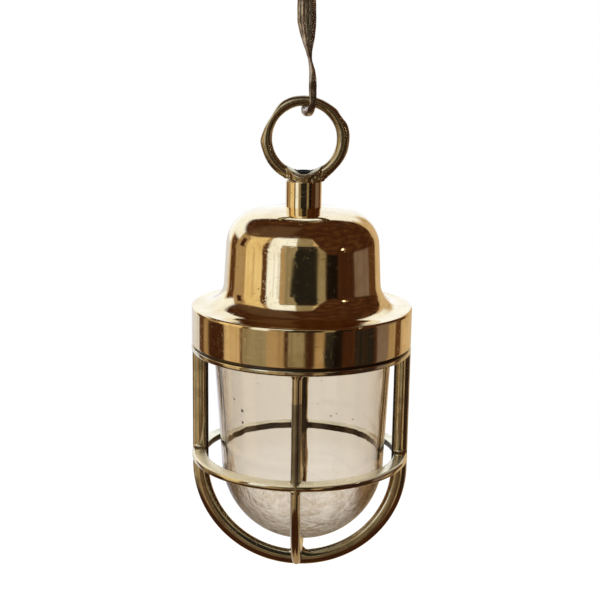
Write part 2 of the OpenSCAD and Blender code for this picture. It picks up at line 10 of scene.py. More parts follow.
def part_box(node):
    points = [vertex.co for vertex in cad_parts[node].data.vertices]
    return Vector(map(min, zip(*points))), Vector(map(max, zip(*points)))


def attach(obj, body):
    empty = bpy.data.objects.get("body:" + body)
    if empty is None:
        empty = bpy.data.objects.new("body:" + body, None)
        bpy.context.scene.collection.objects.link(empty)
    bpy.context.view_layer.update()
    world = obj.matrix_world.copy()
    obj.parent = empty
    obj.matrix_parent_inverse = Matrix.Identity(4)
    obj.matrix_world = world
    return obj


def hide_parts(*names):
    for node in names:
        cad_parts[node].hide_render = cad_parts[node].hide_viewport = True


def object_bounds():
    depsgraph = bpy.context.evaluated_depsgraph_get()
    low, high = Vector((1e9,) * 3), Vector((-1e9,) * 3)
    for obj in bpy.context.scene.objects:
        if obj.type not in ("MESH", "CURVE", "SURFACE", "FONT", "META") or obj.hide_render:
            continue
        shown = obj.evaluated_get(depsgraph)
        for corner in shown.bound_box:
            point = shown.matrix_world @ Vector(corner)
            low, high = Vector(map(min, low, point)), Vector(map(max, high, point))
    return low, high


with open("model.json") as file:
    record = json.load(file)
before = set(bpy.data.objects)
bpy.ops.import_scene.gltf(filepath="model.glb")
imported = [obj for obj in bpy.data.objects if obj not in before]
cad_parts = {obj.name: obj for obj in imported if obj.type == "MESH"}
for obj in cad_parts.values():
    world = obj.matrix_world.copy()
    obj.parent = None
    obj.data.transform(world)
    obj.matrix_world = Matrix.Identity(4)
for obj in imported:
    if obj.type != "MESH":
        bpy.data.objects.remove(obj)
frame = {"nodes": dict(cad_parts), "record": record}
cad_low, cad_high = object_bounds()

MM = 0.001
TURN = 2 * math.pi

# Heights below are in millimetres from the seam between the cap and the guard, as in the drawing
seam_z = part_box("dome_cap")[0].z

# Cap
flange_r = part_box("dome_cap")[1].x / MM
crown_top = (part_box("dome_cap")[1].z - seam_z) / MM
crown_h = 91
shoulder_corner = (50.47, 88.45)
band_h = 26
edge_r = 1.5
fillet_r = 16
dome_base_r = 54.0
dome_top_r = 50.35
shoulder_r = 24.5
cap_wall = 3.2
bore_r = 70
stem_hole_r = 9.1
boss_r = 5
boss_circle_r = 36
boss_low = 66.5
earth_boss_low = 70.5
screw_hole_r = 2.05

# Ring and neck
neck_r = 12
neck_top = 110.5
stem_r = 9
stem_low = (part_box("neck_stem")[0].z - seam_z) / MM
cable_r = 5.4
bar_r = 4.2
ring_out_r = (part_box("hanging_ring")[1].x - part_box("hanging_ring")[0].x) / 2 / MM
ring_mid_r = ring_out_r - bar_r
ring_in_r = ring_mid_r - bar_r
ring_h = (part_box("hanging_ring")[1].z - seam_z) / MM - ring_out_r
saddle_r = ring_in_r + 0.4
saddle_round = 20
saddle_low_r = 10.4
saddle_wide_r = 12
spot_r = 6.7
spot_depth = 2

# Guard
guard_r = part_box("guard_collar")[1].x / MM
bar_depth = 11
bar_width = 6.5
collar_top = -0.3
collar_low = -5.3
spigot_r = 69.7
spigot_in_r = 65.7
spigot_top = 19.6
ledge_r = 62.6
ledge_low, ledge_top = 7.7, 11.7
girdle_mid = -80.5
girdle_h = 5
girdle_depth = 10
arc_drop = 89.5
hoop_step = 9.25
thread_pitch = 4
thread_depth = 1.2

# Jar
jar_top_r = 62
jar_low_r = 56.5
jar_wall = 4.5
jar_drop = 84
lip_r = 65.1
lip_low, lip_top = 14, 19

# Hook, in millimetres from the centre of its eye
eye_r = 11
eye_bore_r = 6
eye_thick = 6
curl_shift = 2.4
curl_turn = math.radians(20)
curl_mid_r = 8.41
curl_z = -74.78
curl_sweep = math.radians(152)
strap_w = 4.9
strap_t = 3.7


def new_object(name, mesh):
    obj = bpy.data.objects.new(name, mesh)
    bpy.context.scene.collection.objects.link(obj)
    return obj


def mesh_object(name, verts, faces, scale=MM, lift=0.0):
    """Object from vertices in millimetres, lifted in metres, with its faces turned outwards."""
    mesh = bpy.data.meshes.new(name)
    mesh.from_pydata([(x * scale, y * scale, z * scale + lift) for x, y, z in verts], [], faces)
    bm = bmesh.new()
    bm.from_mesh(mesh)
    bmesh.ops.remove_doubles(bm, verts=bm.verts, dist=1e-6)
    bmesh.ops.recalc_face_normals(bm, faces=bm.faces)
    bm.to_mesh(mesh)
    bm.free()
    return new_object(name, mesh)


def shade(obj, angle=35):
    """Smooth faces, with creases where they meet at more than an angle in degrees."""
    obj.data.shade_smooth()
    obj.data.set_sharp_from_angle(angle=math.radians(angle))
    return obj


def apply_modifiers(obj):
    """Replaces the object's mesh by its evaluated one."""
    graph = bpy.context.evaluated_depsgraph_get()
    mesh = bpy.data.meshes.new_from_object(obj.evaluated_get(graph), depsgraph=graph)
    obj.modifiers.clear()
    obj.data = mesh
    return obj


def combine(obj, others, operation="UNION"):
    """Boolean of closed shells, after which the others are gone."""
    for other in others:
        modifier = obj.modifiers.new("cut", "BOOLEAN")
        modifier.solver = "MANIFOLD"
        modifier.operation = operation
        modifier.object = other
    apply_modifiers(obj)
    for other in others:
        bpy.data.objects.remove(other)
    return obj


def rounded(corners, steps=6, closed=True):
    """Outline through corners (r, z, fillet), each fillet an arc tangent to both sides."""
    out = []
    count = len(corners)
    for i, (x, z, fillet) in enumerate(corners):
        here = Vector((x, z))
        if not fillet or (not closed and i in (0, count - 1)):
            out.append((x, z))
            continue
        before = Vector(corners[i - 1][:2])
        after = Vector(corners[(i + 1) % count][:2])
        u = (before - here).normalized()
        v = (after - here).normalized()
        half = u.angle(v) / 2
        middle = here + (u + v).normalized() * (fillet / math.sin(half))
        start = here + u * (fillet / math.tan(half)) - middle
        end = here + v * (fillet / math.tan(half)) - middle
        arc_steps = max(steps, int(fillet * 1.2))
        for k in range(arc_steps + 1):
            p = middle + start.slerp(end, k / arc_steps) * fillet
            out.append((p.x, p.y))
    return out


def densify(outline, longest, closed=True):
    """Splits an outline's long sides."""
    out = []
    pairs = list(zip(outline, outline[1:] + outline[:1] if closed else outline[1:]))
    for (x0, z0), (x1, z1) in pairs:
        parts = max(1, math.ceil(math.hypot(x1 - x0, z1 - z0) / longest))
        out += [(x0 + (x1 - x0) * k / parts, z0 + (z1 - z0) * k / parts) for k in range(parts)]
    return out if closed else out + [outline[-1]]


def lathe(name, outline, segments=288, closed=True, shape=None, lift=seam_z):
    """Turns an outline (r, z) round the Z axis. shape may move a point (r, z, angle) to a new (r, z)."""
    verts = []
    rows = []
    for r, z in outline:
        if r < 1e-6:
            rows.append([len(verts)] * segments)
            verts.append((0, 0, z))
            continue
        rows.append(list(range(len(verts), len(verts) + segments)))
        for j in range(segments):
            a = TURN * j / segments
            pr, pz = shape(r, z, a) if shape else (r, z)
            verts.append((pr * math.sin(a), -pr * math.cos(a), pz))
    faces = []
    last = len(rows) if closed else len(rows) - 1
    for i in range(last):
        low, high = rows[i], rows[(i + 1) % len(rows)]
        for j in range(segments):
            k = (j + 1) % segments
            corners = [low[j], low[k], high[k], high[j]]
            face = [v for n, v in enumerate(corners) if v not in corners[:n]]
            if len(face) > 2:
                faces.append(face)
    return mesh_object(name, verts, faces, lift=lift)


def groove(z, angle, pitch=thread_pitch, depth=thread_depth):
    """Depth of a right-hand thread's groove at a height and angle, 0 at its crest."""
    turn = (z / pitch - angle / TURN) % 1
    return depth * max(0.0, 1 - abs(turn - 0.5) * 3.2)


def rod(name, radius, low, high, x=0, y=0, segments=48):
    """A plain round bar on its end, for cutting holes and adding bosses."""
    ring = [(x + radius * math.cos(TURN * k / segments), y + radius * math.sin(TURN * k / segments))
            for k in range(segments)]
    verts = [(px, py, low) for px, py in ring] + [(px, py, high) for px, py in ring]
    faces = [(k, (k + 1) % segments, segments + (k + 1) % segments, segments + k) for k in range(segments)]
    faces += [tuple(range(segments)), tuple(range(segments, 2 * segments))]
    return mesh_object(name, verts, faces, lift=seam_z)


def bump_noise(p, size, seed=0):
    """Smooth noise from -1 to 1 at a point in millimetres, with waves of about that size."""
    return noise.noise(Vector(p) / size + Vector((seed, seed * 0.37, -seed)))


def rough_up(obj, size, height, seed=0):
    """Moves a mesh's points along their normals by smooth noise, as casting and hammering leave them."""
    mesh = obj.data
    moved = []
    for v in mesh.vertices:
        moved.extend(v.co + v.normal * (bump_noise(v.co / MM, size, seed) * height * MM))
    mesh.vertices.foreach_set("co", moved)
    mesh.update()


def remeshed(obj, voxel, smoothing=4):
    """One skin over overlapping shells, smoothed as a casting or a forging is."""
    remesh = obj.modifiers.new("skin", "REMESH")
    remesh.mode = "VOXEL"
    remesh.voxel_size = voxel * MM
    smooth = obj.modifiers.new("smooth", "SMOOTH")
    smooth.factor = 0.5
    smooth.iterations = smoothing
    return apply_modifiers(obj)


def joined(obj, others):
    """Joins meshes into one object without merging them."""
    bm = bmesh.new()
    bm.from_mesh(obj.data)
    for other in others:
        bm.from_mesh(other.data)
        bpy.data.objects.remove(other)
    bm.to_mesh(obj.data)
    bm.free()
    return obj


# Node building

def put(tree, kind, inputs=None, **settings):
    """Adds a node, sets its properties, and fills or links its inputs, given by name or number."""
    node = tree.nodes.new(kind)
    for key, value in settings.items():
        setattr(node, key, value)
    for key, value in (inputs or {}).items():
        if isinstance(value, bpy.types.NodeSocket):
            tree.links.new(value, node.inputs[key])
        else:
            node.inputs[key].default_value = value
    return node


def maths(tree, operation, *values, clamp=False):
    node = put(tree, "ShaderNodeMath", dict(enumerate(values)), operation=operation, use_clamp=clamp)
    return node.outputs[0]


def remap(tree, value, low, high, to_low=0.0, to_high=1.0):
    """Smooth step of a value between two levels."""
    node = put(tree, "ShaderNodeMapRange", {"Value": value, "From Min": low, "From Max": high,
                                            "To Min": to_low, "To Max": to_high},
               interpolation_type="SMOOTHSTEP")
    return node.outputs["Result"]


def band(tree, value, low, high, soft):
    """1 between two levels and 0 outside them, with soft edges."""
    return maths(tree, "MINIMUM", remap(tree, value, low - soft, low + soft),
                 remap(tree, value, high + soft, high - soft))


def mix(tree, factor, first, second):
    node = put(tree, "ShaderNodeMix", {"Factor": factor, 6: first, 7: second}, data_type="RGBA")
    return node.outputs[2]


def cloud(tree, place, scale, detail=3.0, roughness=0.55):
    node = put(tree, "ShaderNodeTexNoise", {"Vector": place, "Scale": scale, "Detail": detail,
                                            "Roughness": roughness})
    return node.outputs[0]


def stretched(tree, place, factors):
    node = put(tree, "ShaderNodeVectorMath", {0: place, 1: factors}, operation="MULTIPLY")
    return node.outputs[0]


def group_sockets(group, inputs, outputs):
    for name, kind, value in inputs:
        socket = group.interface.new_socket(name, in_out="INPUT", socket_type=kind)
        if value is not None:
            socket.default_value = value
    for name, kind in outputs:
        group.interface.new_socket(name, in_out="OUTPUT", socket_type=kind)
    return group.nodes.new("NodeGroupInput").outputs, group.nodes.new("NodeGroupOutput").inputs


def make_wear_group():
    """Handling marks on metal: soft stains, spots, fine scratches and a slow wave in the surface."""
    group = bpy.data.node_groups.new("Metal wear", "ShaderNodeTree")
    given, out = group_sockets(
        group,
        [("Place", "NodeSocketVector", None), ("Stain size", "NodeSocketFloat", 40.0),
         ("Scratch size", "NodeSocketFloat", 1900.0)],
        [("Stain", "NodeSocketFloat"), ("Spots", "NodeSocketFloat"), ("Scratches", "NodeSocketFloat"),
         ("Wave", "NodeSocketFloat"), ("Grain", "NodeSocketFloat")])
    place, stain_size, scratch_size = given["Place"], given["Stain size"], given["Scratch size"]
    stain = remap(group, cloud(group, place, stain_size, 6.0, 0.62), 0.38, 0.68)
    speck = put(group, "ShaderNodeTexVoronoi", {"Vector": place, "Scale": 260.0, "Randomness": 1.0})
    sparse = remap(group, cloud(group, place, 55.0, 2.0), 0.55, 0.7)
    spots = maths(group, "MULTIPLY", remap(group, speck.outputs["Distance"], 0.2, 0.08), sparse)
    lines = None
    for tilt in ((0.06, 0.06, 1.0), (1.0, 0.05, 0.09), (0.5, 1.0, 0.08)):
        streak = cloud(group, stretched(group, place, tilt), scratch_size, 2.0, 0.7)
        line = remap(group, streak, 0.68, 0.76)
        lines = line if lines is None else maths(group, "MAXIMUM", lines, line)
    wave = cloud(group, place, 26.0, 1.0, 0.4)
    grain = cloud(group, place, 1400.0, 3.0, 0.6)
    for name, socket in (("Stain", stain), ("Spots", spots), ("Scratches", lines), ("Wave", wave),
                         ("Grain", grain)):
        group.links.new(socket, out[name])
    return group


wear_group = make_wear_group()


def start_material(name):
    material = bpy.data.materials.new(name)
    material.use_nodes = True
    tree = material.node_tree
    shader = tree.nodes["Principled BSDF"]
    place = put(tree, "ShaderNodeTexCoord").outputs["Object"]
    return material, tree, shader, place


def worn(tree, place, stain_size=40.0, scratch_size=1900.0):
    node = put(tree, "ShaderNodeGroup", node_tree=wear_group)
    tree.links.new(place, node.inputs["Place"])
    node.inputs["Stain size"].default_value = stain_size
    node.inputs["Scratch size"].default_value = scratch_size
    return node.outputs


def relief(tree, layers):
    """Stacks bumps (height socket, depth in metres) and gives the last one's normal."""
    normal = None
    for height, depth in layers:
        inputs = {"Height": height, "Distance": depth, "Strength": 1.0}
        if normal is not None:
            inputs["Normal"] = normal
        normal = put(tree, "ShaderNodeBump", inputs).outputs[0]
    return normal


def dark_faces_and_painted_shade(tree, place):
    """Darker, rougher guard: 1 on its faces towards the jar and painted shade in the seam, 0.62 painted shade on the
    front bar.
    """
    facing = put(tree, "ShaderNodeTexCoord").outputs["Normal"]
    outward = put(tree, "ShaderNodeVectorMath", {0: stretched(tree, place, (1.0, 1.0, 0.0))},
                  operation="NORMALIZE").outputs[0]
    share = put(tree, "ShaderNodeVectorMath", {0: facing, 1: outward}, operation="DOT_PRODUCT").outputs["Value"]
    height = put(tree, "ShaderNodeSeparateXYZ", {0: place}).outputs["Z"]
    # Painted shade: the seam between the cap and the collar's top edge, darkened.
    seam = band(tree, height, seam_z - 1.75 * MM, seam_z + 1.0 * MM, 0.1 * MM)
    above = remap(tree, height, seam_z + (girdle_mid - 9) * MM, seam_z + (girdle_mid - 3) * MM)
    inner = maths(tree, "MULTIPLY", remap(tree, share, -0.3, -0.65), above)
    side = put(tree, "ShaderNodeSeparateXYZ", {0: place}).outputs
    # Painted shade: the front bar darkened from 23.5 mm to 78 mm below the seam, at 0.62.
    front_bar_shade = maths(tree, "MULTIPLY", band(tree, side["X"], -6 * MM, 6 * MM, 0.2 * MM),
                   maths(tree, "LESS_THAN", side["Y"], -50 * MM))
    front_bar_shade = maths(tree, "MULTIPLY", front_bar_shade, band(tree, height, seam_z - 78 * MM, seam_z - 23.5 * MM, 0.8 * MM))
    return maths(tree, "MAXIMUM", maths(tree, "MULTIPLY", front_bar_shade, 0.62), maths(tree, "MAXIMUM", inner, seam))


def painted_girdle_highlight(tree, place):
    """Painted highlight: 1 on the front of the girdle's top, less towards the right, made pale and satin as if lit from
    above.
    """
    up = put(tree, "ShaderNodeSeparateXYZ", {0: put(tree, "ShaderNodeTexCoord").outputs["Normal"]}).outputs["Z"]
    side = put(tree, "ShaderNodeSeparateXYZ", {0: place}).outputs
    level = seam_z + (girdle_mid + girdle_h / 2) * MM
    top = maths(tree, "MULTIPLY", remap(tree, up, 0.3, 0.8),
                band(tree, side["Z"], level - 2 * MM, level + MM, 0.3 * MM))
    top = maths(tree, "MULTIPLY", top, remap(tree, side["Y"], -2 * MM, -26 * MM))
    return maths(tree, "MULTIPLY", top, remap(tree, side["X"], 68 * MM, 30 * MM, 0.3, 1.0))


def metal(name, bright, toned, dark, polish, dullness, wave=0.0003, stain_size=40.0,
          dull_and_shade_part=None, highlight_part=None):
    """Bare metal: bright where polished, toned where dulled, dark in stains and spots; masks may add painted shade and
    highlight.
    """
    material, tree, shader, place = start_material(name)
    marks = worn(tree, place, stain_size)
    tone = mix(tree, marks["Stain"], bright, toned)
    deep = maths(tree, "MULTIPLY", marks["Spots"], 0.8)
    colour = mix(tree, deep, tone, dark)
    rough = maths(tree, "MULTIPLY_ADD", marks["Stain"], dullness - polish, polish)
    rough = maths(tree, "MULTIPLY_ADD", marks["Grain"], 0.05, rough)
    rough = maths(tree, "MULTIPLY_ADD", marks["Scratches"], 0.10, rough)
    rough = maths(tree, "MULTIPLY_ADD", marks["Spots"], 0.25, rough)
    if dull_and_shade_part:
        # Darker and rougher where the mask says; on the guard it holds painted shade in the seam and on the front bar.
        mask = dull_and_shade_part(tree, place)
        colour = mix(tree, mask, colour, (0.085, 0.065, 0.045, 1))
        rough = maths(tree, "MULTIPLY_ADD", mask, 0.3, rough)
    if highlight_part:
        # Painted highlight: where the mask says, the metal turns pale cream, rougher and less metallic, as if lit.
        mask = highlight_part(tree, place)
        colour = mix(tree, maths(tree, "MULTIPLY", mask, 0.93), colour, (1.0, 0.88, 0.60, 1))
        rough = maths(tree, "MULTIPLY_ADD", mask, 0.18, rough)
        tree.links.new(maths(tree, "MULTIPLY_ADD", mask, -0.75, 1.0), shader.inputs["Metallic"])
    normal = relief(tree, [(marks["Wave"], wave), (marks["Scratches"], -0.00002),
                           (marks["Spots"], -0.00005), (marks["Grain"], 0.000006)])
    tree.links.new(colour, shader.inputs["Base Color"])
    tree.links.new(rough, shader.inputs["Roughness"])
    tree.links.new(normal, shader.inputs["Normal"])
    if not highlight_part:
        shader.inputs["Metallic"].default_value = 1.0
    return material


def plain(name, colour, other, roughness, spread, size, depth, **sockets):
    """A non-metal: two near colours in soft clouds, with a fine relief."""
    material, tree, shader, place = start_material(name)
    patches = remap(tree, cloud(tree, place, size, 5.0, 0.6), 0.35, 0.65)
    fine = cloud(tree, place, size * 12, 3.0, 0.6)
    tree.links.new(mix(tree, patches, colour, other), shader.inputs["Base Color"])
    rough = maths(tree, "MULTIPLY_ADD", fine, spread, roughness)
    tree.links.new(rough, shader.inputs["Roughness"])
    tree.links.new(relief(tree, [(fine, depth)]), shader.inputs["Normal"])
    for socket, value in sockets.items():
        shader.inputs[socket.replace("_", " ")].default_value = value
    return material


# Dark specks in the jar's outer face: place in millimetres from the seam, and radius
SPECKS = [
    (-36.9, -45.0, -37.5, 0.95), (-36.9, -44.9, -45.8, 0.85), (-42.7, -40.1, -31.0, 0.6),
    (15.2, -58.3, -11.7, 0.5)]


def make_glass():
    """Thick pressed glass: its tint is in its depth, its round bottom is mottled, and a painted brown reflection lies
    under the girdle.
    """
    material, tree, shader, place = start_material("pressed_glass")
    shader.inputs["Transmission Weight"].default_value = 1.0
    shader.inputs["IOR"].default_value = 1.5
    axes = put(tree, "ShaderNodeSeparateXYZ", {0: place}).outputs
    height = axes["Z"]
    bowl = seam_z - (jar_drop + 2) * MM
    bottom = remap(tree, height, bowl + 2 * MM, bowl - 12 * MM)
    low = maths(tree, "MULTIPLY", remap(tree, height, bowl + 4 * MM, bowl - 6 * MM),
                remap(tree, axes["Y"], 6 * MM, -16 * MM))
    mottle = cloud(tree, place, 240.0, 5.0, 0.65)
    veins = remap(tree, cloud(tree, stretched(tree, place, (1.0, 1.0, 1.7)), 95.0, 6.0, 0.66), 0.44, 0.60)
    streaks = cloud(tree, stretched(tree, place, (1.0, 1.0, 0.12)), 150.0, 2.0, 0.5)
    film = remap(tree, cloud(tree, place, 34.0, 5.0, 0.6), 0.42, 0.75)
    haze = maths(tree, "MULTIPLY", low, remap(tree, mottle, 0.38, 0.62))
    rough = maths(tree, "MULTIPLY_ADD", film, 0.03, 0.0)
    rough = maths(tree, "MULTIPLY_ADD", haze, 0.12, rough)
    tree.links.new(rough, shader.inputs["Roughness"])
    colour = mix(tree, bottom, (0.955, 0.935, 0.895, 1), (1, 0.99, 0.985, 1))
    colour = mix(tree, maths(tree, "MULTIPLY", low, maths(tree, "MULTIPLY", veins, 0.7)), colour,
                 (0.76, 0.68, 0.56, 1))
    # Painted reflection: a brown band in the bowl below the girdle, strongest at the front towards the sides, for the
    # girdle mirrored in the glass.
    rim = band(tree, height, bowl - 36 * MM, bowl - 1 * MM, 6 * MM)
    sides = remap(tree, maths(tree, "ABSOLUTE", axes["X"]), 33 * MM, 46 * MM)
    front = remap(tree, axes["Y"], 9 * MM, -3 * MM)
    painted_girdle_reflection = maths(tree, "MULTIPLY", maths(tree, "MULTIPLY", rim, front),
                  maths(tree, "MULTIPLY_ADD", sides, 0.95, 0.05))
    colour = mix(tree, painted_girdle_reflection, colour, (0.42, 0.27, 0.13, 1))
    for x, y, z, size in SPECKS:
        spot = (x * MM, y * MM, z * MM + seam_z)
        away = put(tree, "ShaderNodeVectorMath", {0: place, 1: spot}, operation="DISTANCE").outputs["Value"]
        colour = mix(tree, remap(tree, away, size * 1.5 * MM, size * MM), colour, (0.03, 0.02, 0.015, 1))
    tree.links.new(colour, shader.inputs["Base Color"])
    mottle_height = maths(tree, "MULTIPLY", mottle, low)
    normal = relief(tree, [(streaks, 0.00008), (mottle_height, 0.0007)])
    tree.links.new(normal, shader.inputs["Normal"])
    depth = put(tree, "ShaderNodeVolumeAbsorption", {"Color": (0.62, 0.45, 0.18, 1), "Density": 52.0})
    tree.links.new(depth.outputs[0], tree.nodes["Material Output"].inputs["Volume"])
    return material


materials = {
    "cap_brass": metal("polished_brass", (0.90, 0.77, 0.50, 1), (0.80, 0.64, 0.37, 1),
                       (0.12, 0.06, 0.025, 1), 0.03, 0.09),
    "guard_brass": metal("toned_cast_brass", (0.85, 0.79, 0.58, 1), (0.57, 0.50, 0.34, 1),
                         (0.07, 0.045, 0.02, 1), 0.06, 0.15, wave=0.0005, stain_size=60.0,
                         dull_and_shade_part=dark_faces_and_painted_shade, highlight_part=painted_girdle_highlight),
    "turned_brass": metal("turned_brass", (0.80, 0.60, 0.30, 1), (0.55, 0.38, 0.18, 1),
                          (0.12, 0.07, 0.03, 1), 0.15, 0.3),
    "dark_iron": metal("forged_iron", (0.62, 0.55, 0.47, 1), (0.20, 0.155, 0.12, 1),
                       (0.02, 0.014, 0.01, 1), 0.19, 0.33, wave=0.0003, stain_size=130.0),
    "zinc_steel": metal("zinc_plate", (0.62, 0.62, 0.60, 1), (0.42, 0.42, 0.41, 1),
                        (0.15, 0.14, 0.13, 1), 0.22, 0.38),
    "black_rubber": plain("rubber", (0.007, 0.007, 0.007, 1), (0.014, 0.013, 0.012, 1), 0.6, 0.2, 90.0, 0.00008,
                          Specular_IOR_Level=0.2),
    "cork": plain("cork_sheet", (0.36, 0.25, 0.15, 1), (0.22, 0.14, 0.08, 1), 0.7, 0.2, 500.0, 0.0002),
    "porcelain": plain("glazed_porcelain", (0.86, 0.83, 0.76, 1), (0.78, 0.74, 0.66, 1), 0.08, 0.06, 60.0,
                       0.00003, Coat_Weight=0.6, Coat_Roughness=0.05),
    "clear_glass": make_glass(),
}


ring_brass = metal("toned_brass", (0.58, 0.50, 0.32, 1), (0.40, 0.34, 0.20, 1), (0.09, 0.05, 0.02, 1),
                   0.18, 0.28, wave=0.0003, stain_size=110.0)


def finish_piece(obj, body, slot, *nodes, angle=35, finish=None):
    """Gives a piece its finish and its body, and hides the imported nodes that it stands for."""
    obj.data.materials.clear()
    obj.data.materials.append(finish or materials[slot])
    shade(obj, angle)
    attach(obj, body)
    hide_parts(*nodes)
    return obj


# Cap, neck and ring

def make_cap():
    """The cap casting: dome, flange, band, the guard's thread and three bosses inside."""
    inner_top_r = dome_top_r - cap_wall
    inner_base_r = dome_base_r - cap_wall
    ceiling = band_h - cap_wall
    outline = rounded([
        (stem_hole_r, crown_top, 0.3), (neck_r, crown_top, 0), (*shoulder_corner, shoulder_r),
        (dome_base_r, band_h, fillet_r),
        (flange_r, band_h, edge_r), (flange_r, 0, 0.5), (bore_r, 0, 0.5), (bore_r, ceiling, 0.4),
        (inner_base_r, ceiling, 1.2), (inner_top_r, crown_h - cap_wall, shoulder_r - cap_wall),
        (stem_hole_r, crown_h - cap_wall, 0.3)])
    outline = densify(outline, 1.0)

    def shape(r, z, a):
        inside = abs(r - bore_r) < 0.01 and 1.5 < z < ceiling - 2
        return (r + groove(z, a), z) if inside else (r, z)

    cap = lathe("dome_casting", outline, 320, shape=shape)
    bosses = []
    holes = []
    for degrees, low, depth in ((0, boss_low, 12), (180, boss_low, 12), (45, earth_boss_low, 10)):
        x = boss_circle_r * math.cos(math.radians(degrees))
        y = boss_circle_r * math.sin(math.radians(degrees))
        top = crown_h - 4.5 - (boss_circle_r + boss_r - 24.5) ** 2 / 40
        bosses.append(rod("boss", boss_r, low, top, x, y))
        holes.append(rod("hole", screw_hole_r, low - 1, low + depth, x, y))
    combine(cap, bosses)
    combine(cap, holes, "DIFFERENCE")
    return finish_piece(cap, "lamp", "cap_brass", "dome_cap", angle=30)


def make_neck():
    """The turned neck and the threaded stem below it."""
    outline = rounded([
        (cable_r, stem_low, 0.3), (stem_r, stem_low, 0.8), (stem_r, crown_top, 0), (neck_r, crown_top, 0),
        (neck_r, neck_top, 0.7), (cable_r, neck_top, 0.3)])

    def shape(r, z, a):
        threaded = abs(r - stem_r) < 0.01 and stem_low + 1 < z < crown_top - 0.5
        return (r - groove(z, a, 1.5, 0.5), z) if threaded else (r, z)

    neck = lathe("turned_neck", densify(outline, 0.5), 160, shape=shape)
    return finish_piece(neck, "lamp", "cap_brass", "neck_stem", angle=30)


# How far the hand-finished ring's outer side stands out: angle in degrees, millimetres
RING_OUT = [
    (-57, 0.7), (-41, 0.1), (-23, 0.7), (-10, 0.8), (1, 0.95), (16, 1.1), (24, 0.7), (32, -1.0), (39, 0.05),
    (53, -0.8), (65, -0.8), (96, -0.7), (115, -0.4), (122, -0.5), (130, -1.1), (140, -2.2), (147, -2.6),
    (160, -1.9), (171, -1.1), (185, 0.55), (196, 0.0), (220, 0.15), (240, 0.2), (303, 0.7)]


def ring_out(degrees):
    """The ring's outline at an angle, eased from one point of its table to the next."""
    turned = (degrees + 57) % 360 - 57
    for (start, first), (end, second) in zip(RING_OUT, RING_OUT[1:]):
        if start <= turned <= end:
            t = (turned - start) / (end - start)
            return first + (second - first) * t * t * (3 - 2 * t)
    return RING_OUT[-1][1]


# Lumps of brazing metal at the joint: place from the neck's top, and radius
BRAZING = [
    (12.2, -1.5, 1.4, 2.2), (14.2, -1.0, 2.8, 1.7), (10.6, -5.0, 1.6, 1.6), (8.2, -7.6, 2.6, 1.5),
    (12.6, -3.4, 4.4, 1.6), (10.2, -4.6, 5.6, 1.5), (6.2, -8.8, 1.2, 1.1), (9.4, -6.4, 4.2, 1.2),
    (-10.8, -3.2, 2.6, 1.2), (-12.4, -1.6, 2.0, 1.1), (-9.2, -5.8, 3.0, 0.9), (-6.4, -8.9, -0.4, 1.3),
    (6.9, -8.6, -0.5, 1.2)]


def make_ring():
    """The cast ring and its saddle, brazed to the neck with lumps left at the joint."""
    verts = []
    faces = []
    turns, sides = 240, 40
    for i in range(turns):
        a = TURN * i / turns
        out = sum(ring_out(math.degrees(a) + away) for away in range(-7, 8)) / 15
        for j in range(sides):
            b = TURN * j / sides
            radius = ring_mid_r + 0.25 + (bar_r - 0.4) * math.cos(b) + out * max(0.0, math.cos(b))
            verts.append((radius * math.cos(a), bar_r * math.sin(b), ring_h + radius * math.sin(a)))
            k, m = (i + 1) % turns, (j + 1) % sides
            faces.append((i * sides + j, k * sides + j, k * sides + m, i * sides + m))
    ring = mesh_object("cast_ring", verts, faces, lift=seam_z)
    saddle = lathe("saddle", rounded([
        (0, neck_top - 1.0, 0), (saddle_low_r, neck_top - 1.0, 0.6), (saddle_wide_r, ring_h - 20, 2.0),
        (saddle_wide_r, ring_h - 12, 0.8),
        (0, ring_h - 12, 0)], closed=False), 96, closed=False)
    hollow = [(saddle_r + saddle_round * (1 - math.cos(t / 60)), saddle_round * math.sin(t / 60))
              for t in range(-44, 45, 4)]
    scoop = lathe("scoop", [(0, hollow[0][1])] + hollow + [(0, hollow[-1][1])], 160, closed=False, lift=0)
    scoop.data.transform(Matrix.Translation((0, 0, seam_z + ring_h * MM)) @ Matrix.Rotation(math.pi / 2, 4, "X"))
    combine(saddle, [scoop], "DIFFERENCE")
    lumps = []
    for x, y, z, size in BRAZING:
        ball = bpy.data.meshes.new("lump")
        bm = bmesh.new()
        bmesh.ops.create_icosphere(bm, subdivisions=3, radius=size * MM)
        bmesh.ops.translate(bm, verts=bm.verts, vec=Vector((x, y, z + neck_top)) * MM + Vector((0, 0, seam_z)))
        bm.to_mesh(ball)
        bm.free()
        lumps.append(new_object("lump", ball))
    joined(ring, [saddle] + lumps)
    remeshed(ring, 0.4, 4)
    rough_up(ring, 7, 0.12, 3)
    rough_up(ring, 2.2, 0.05, 9)
    low = ring_h - saddle_r - spot_depth
    combine(ring, [rod("bore", cable_r, 60, ring_h), rod("seat", spot_r, low, ring_h)], "DIFFERENCE")
    return finish_piece(ring, "lamp", "cap_brass", "hanging_ring", angle=50, finish=ring_brass)


# Hook

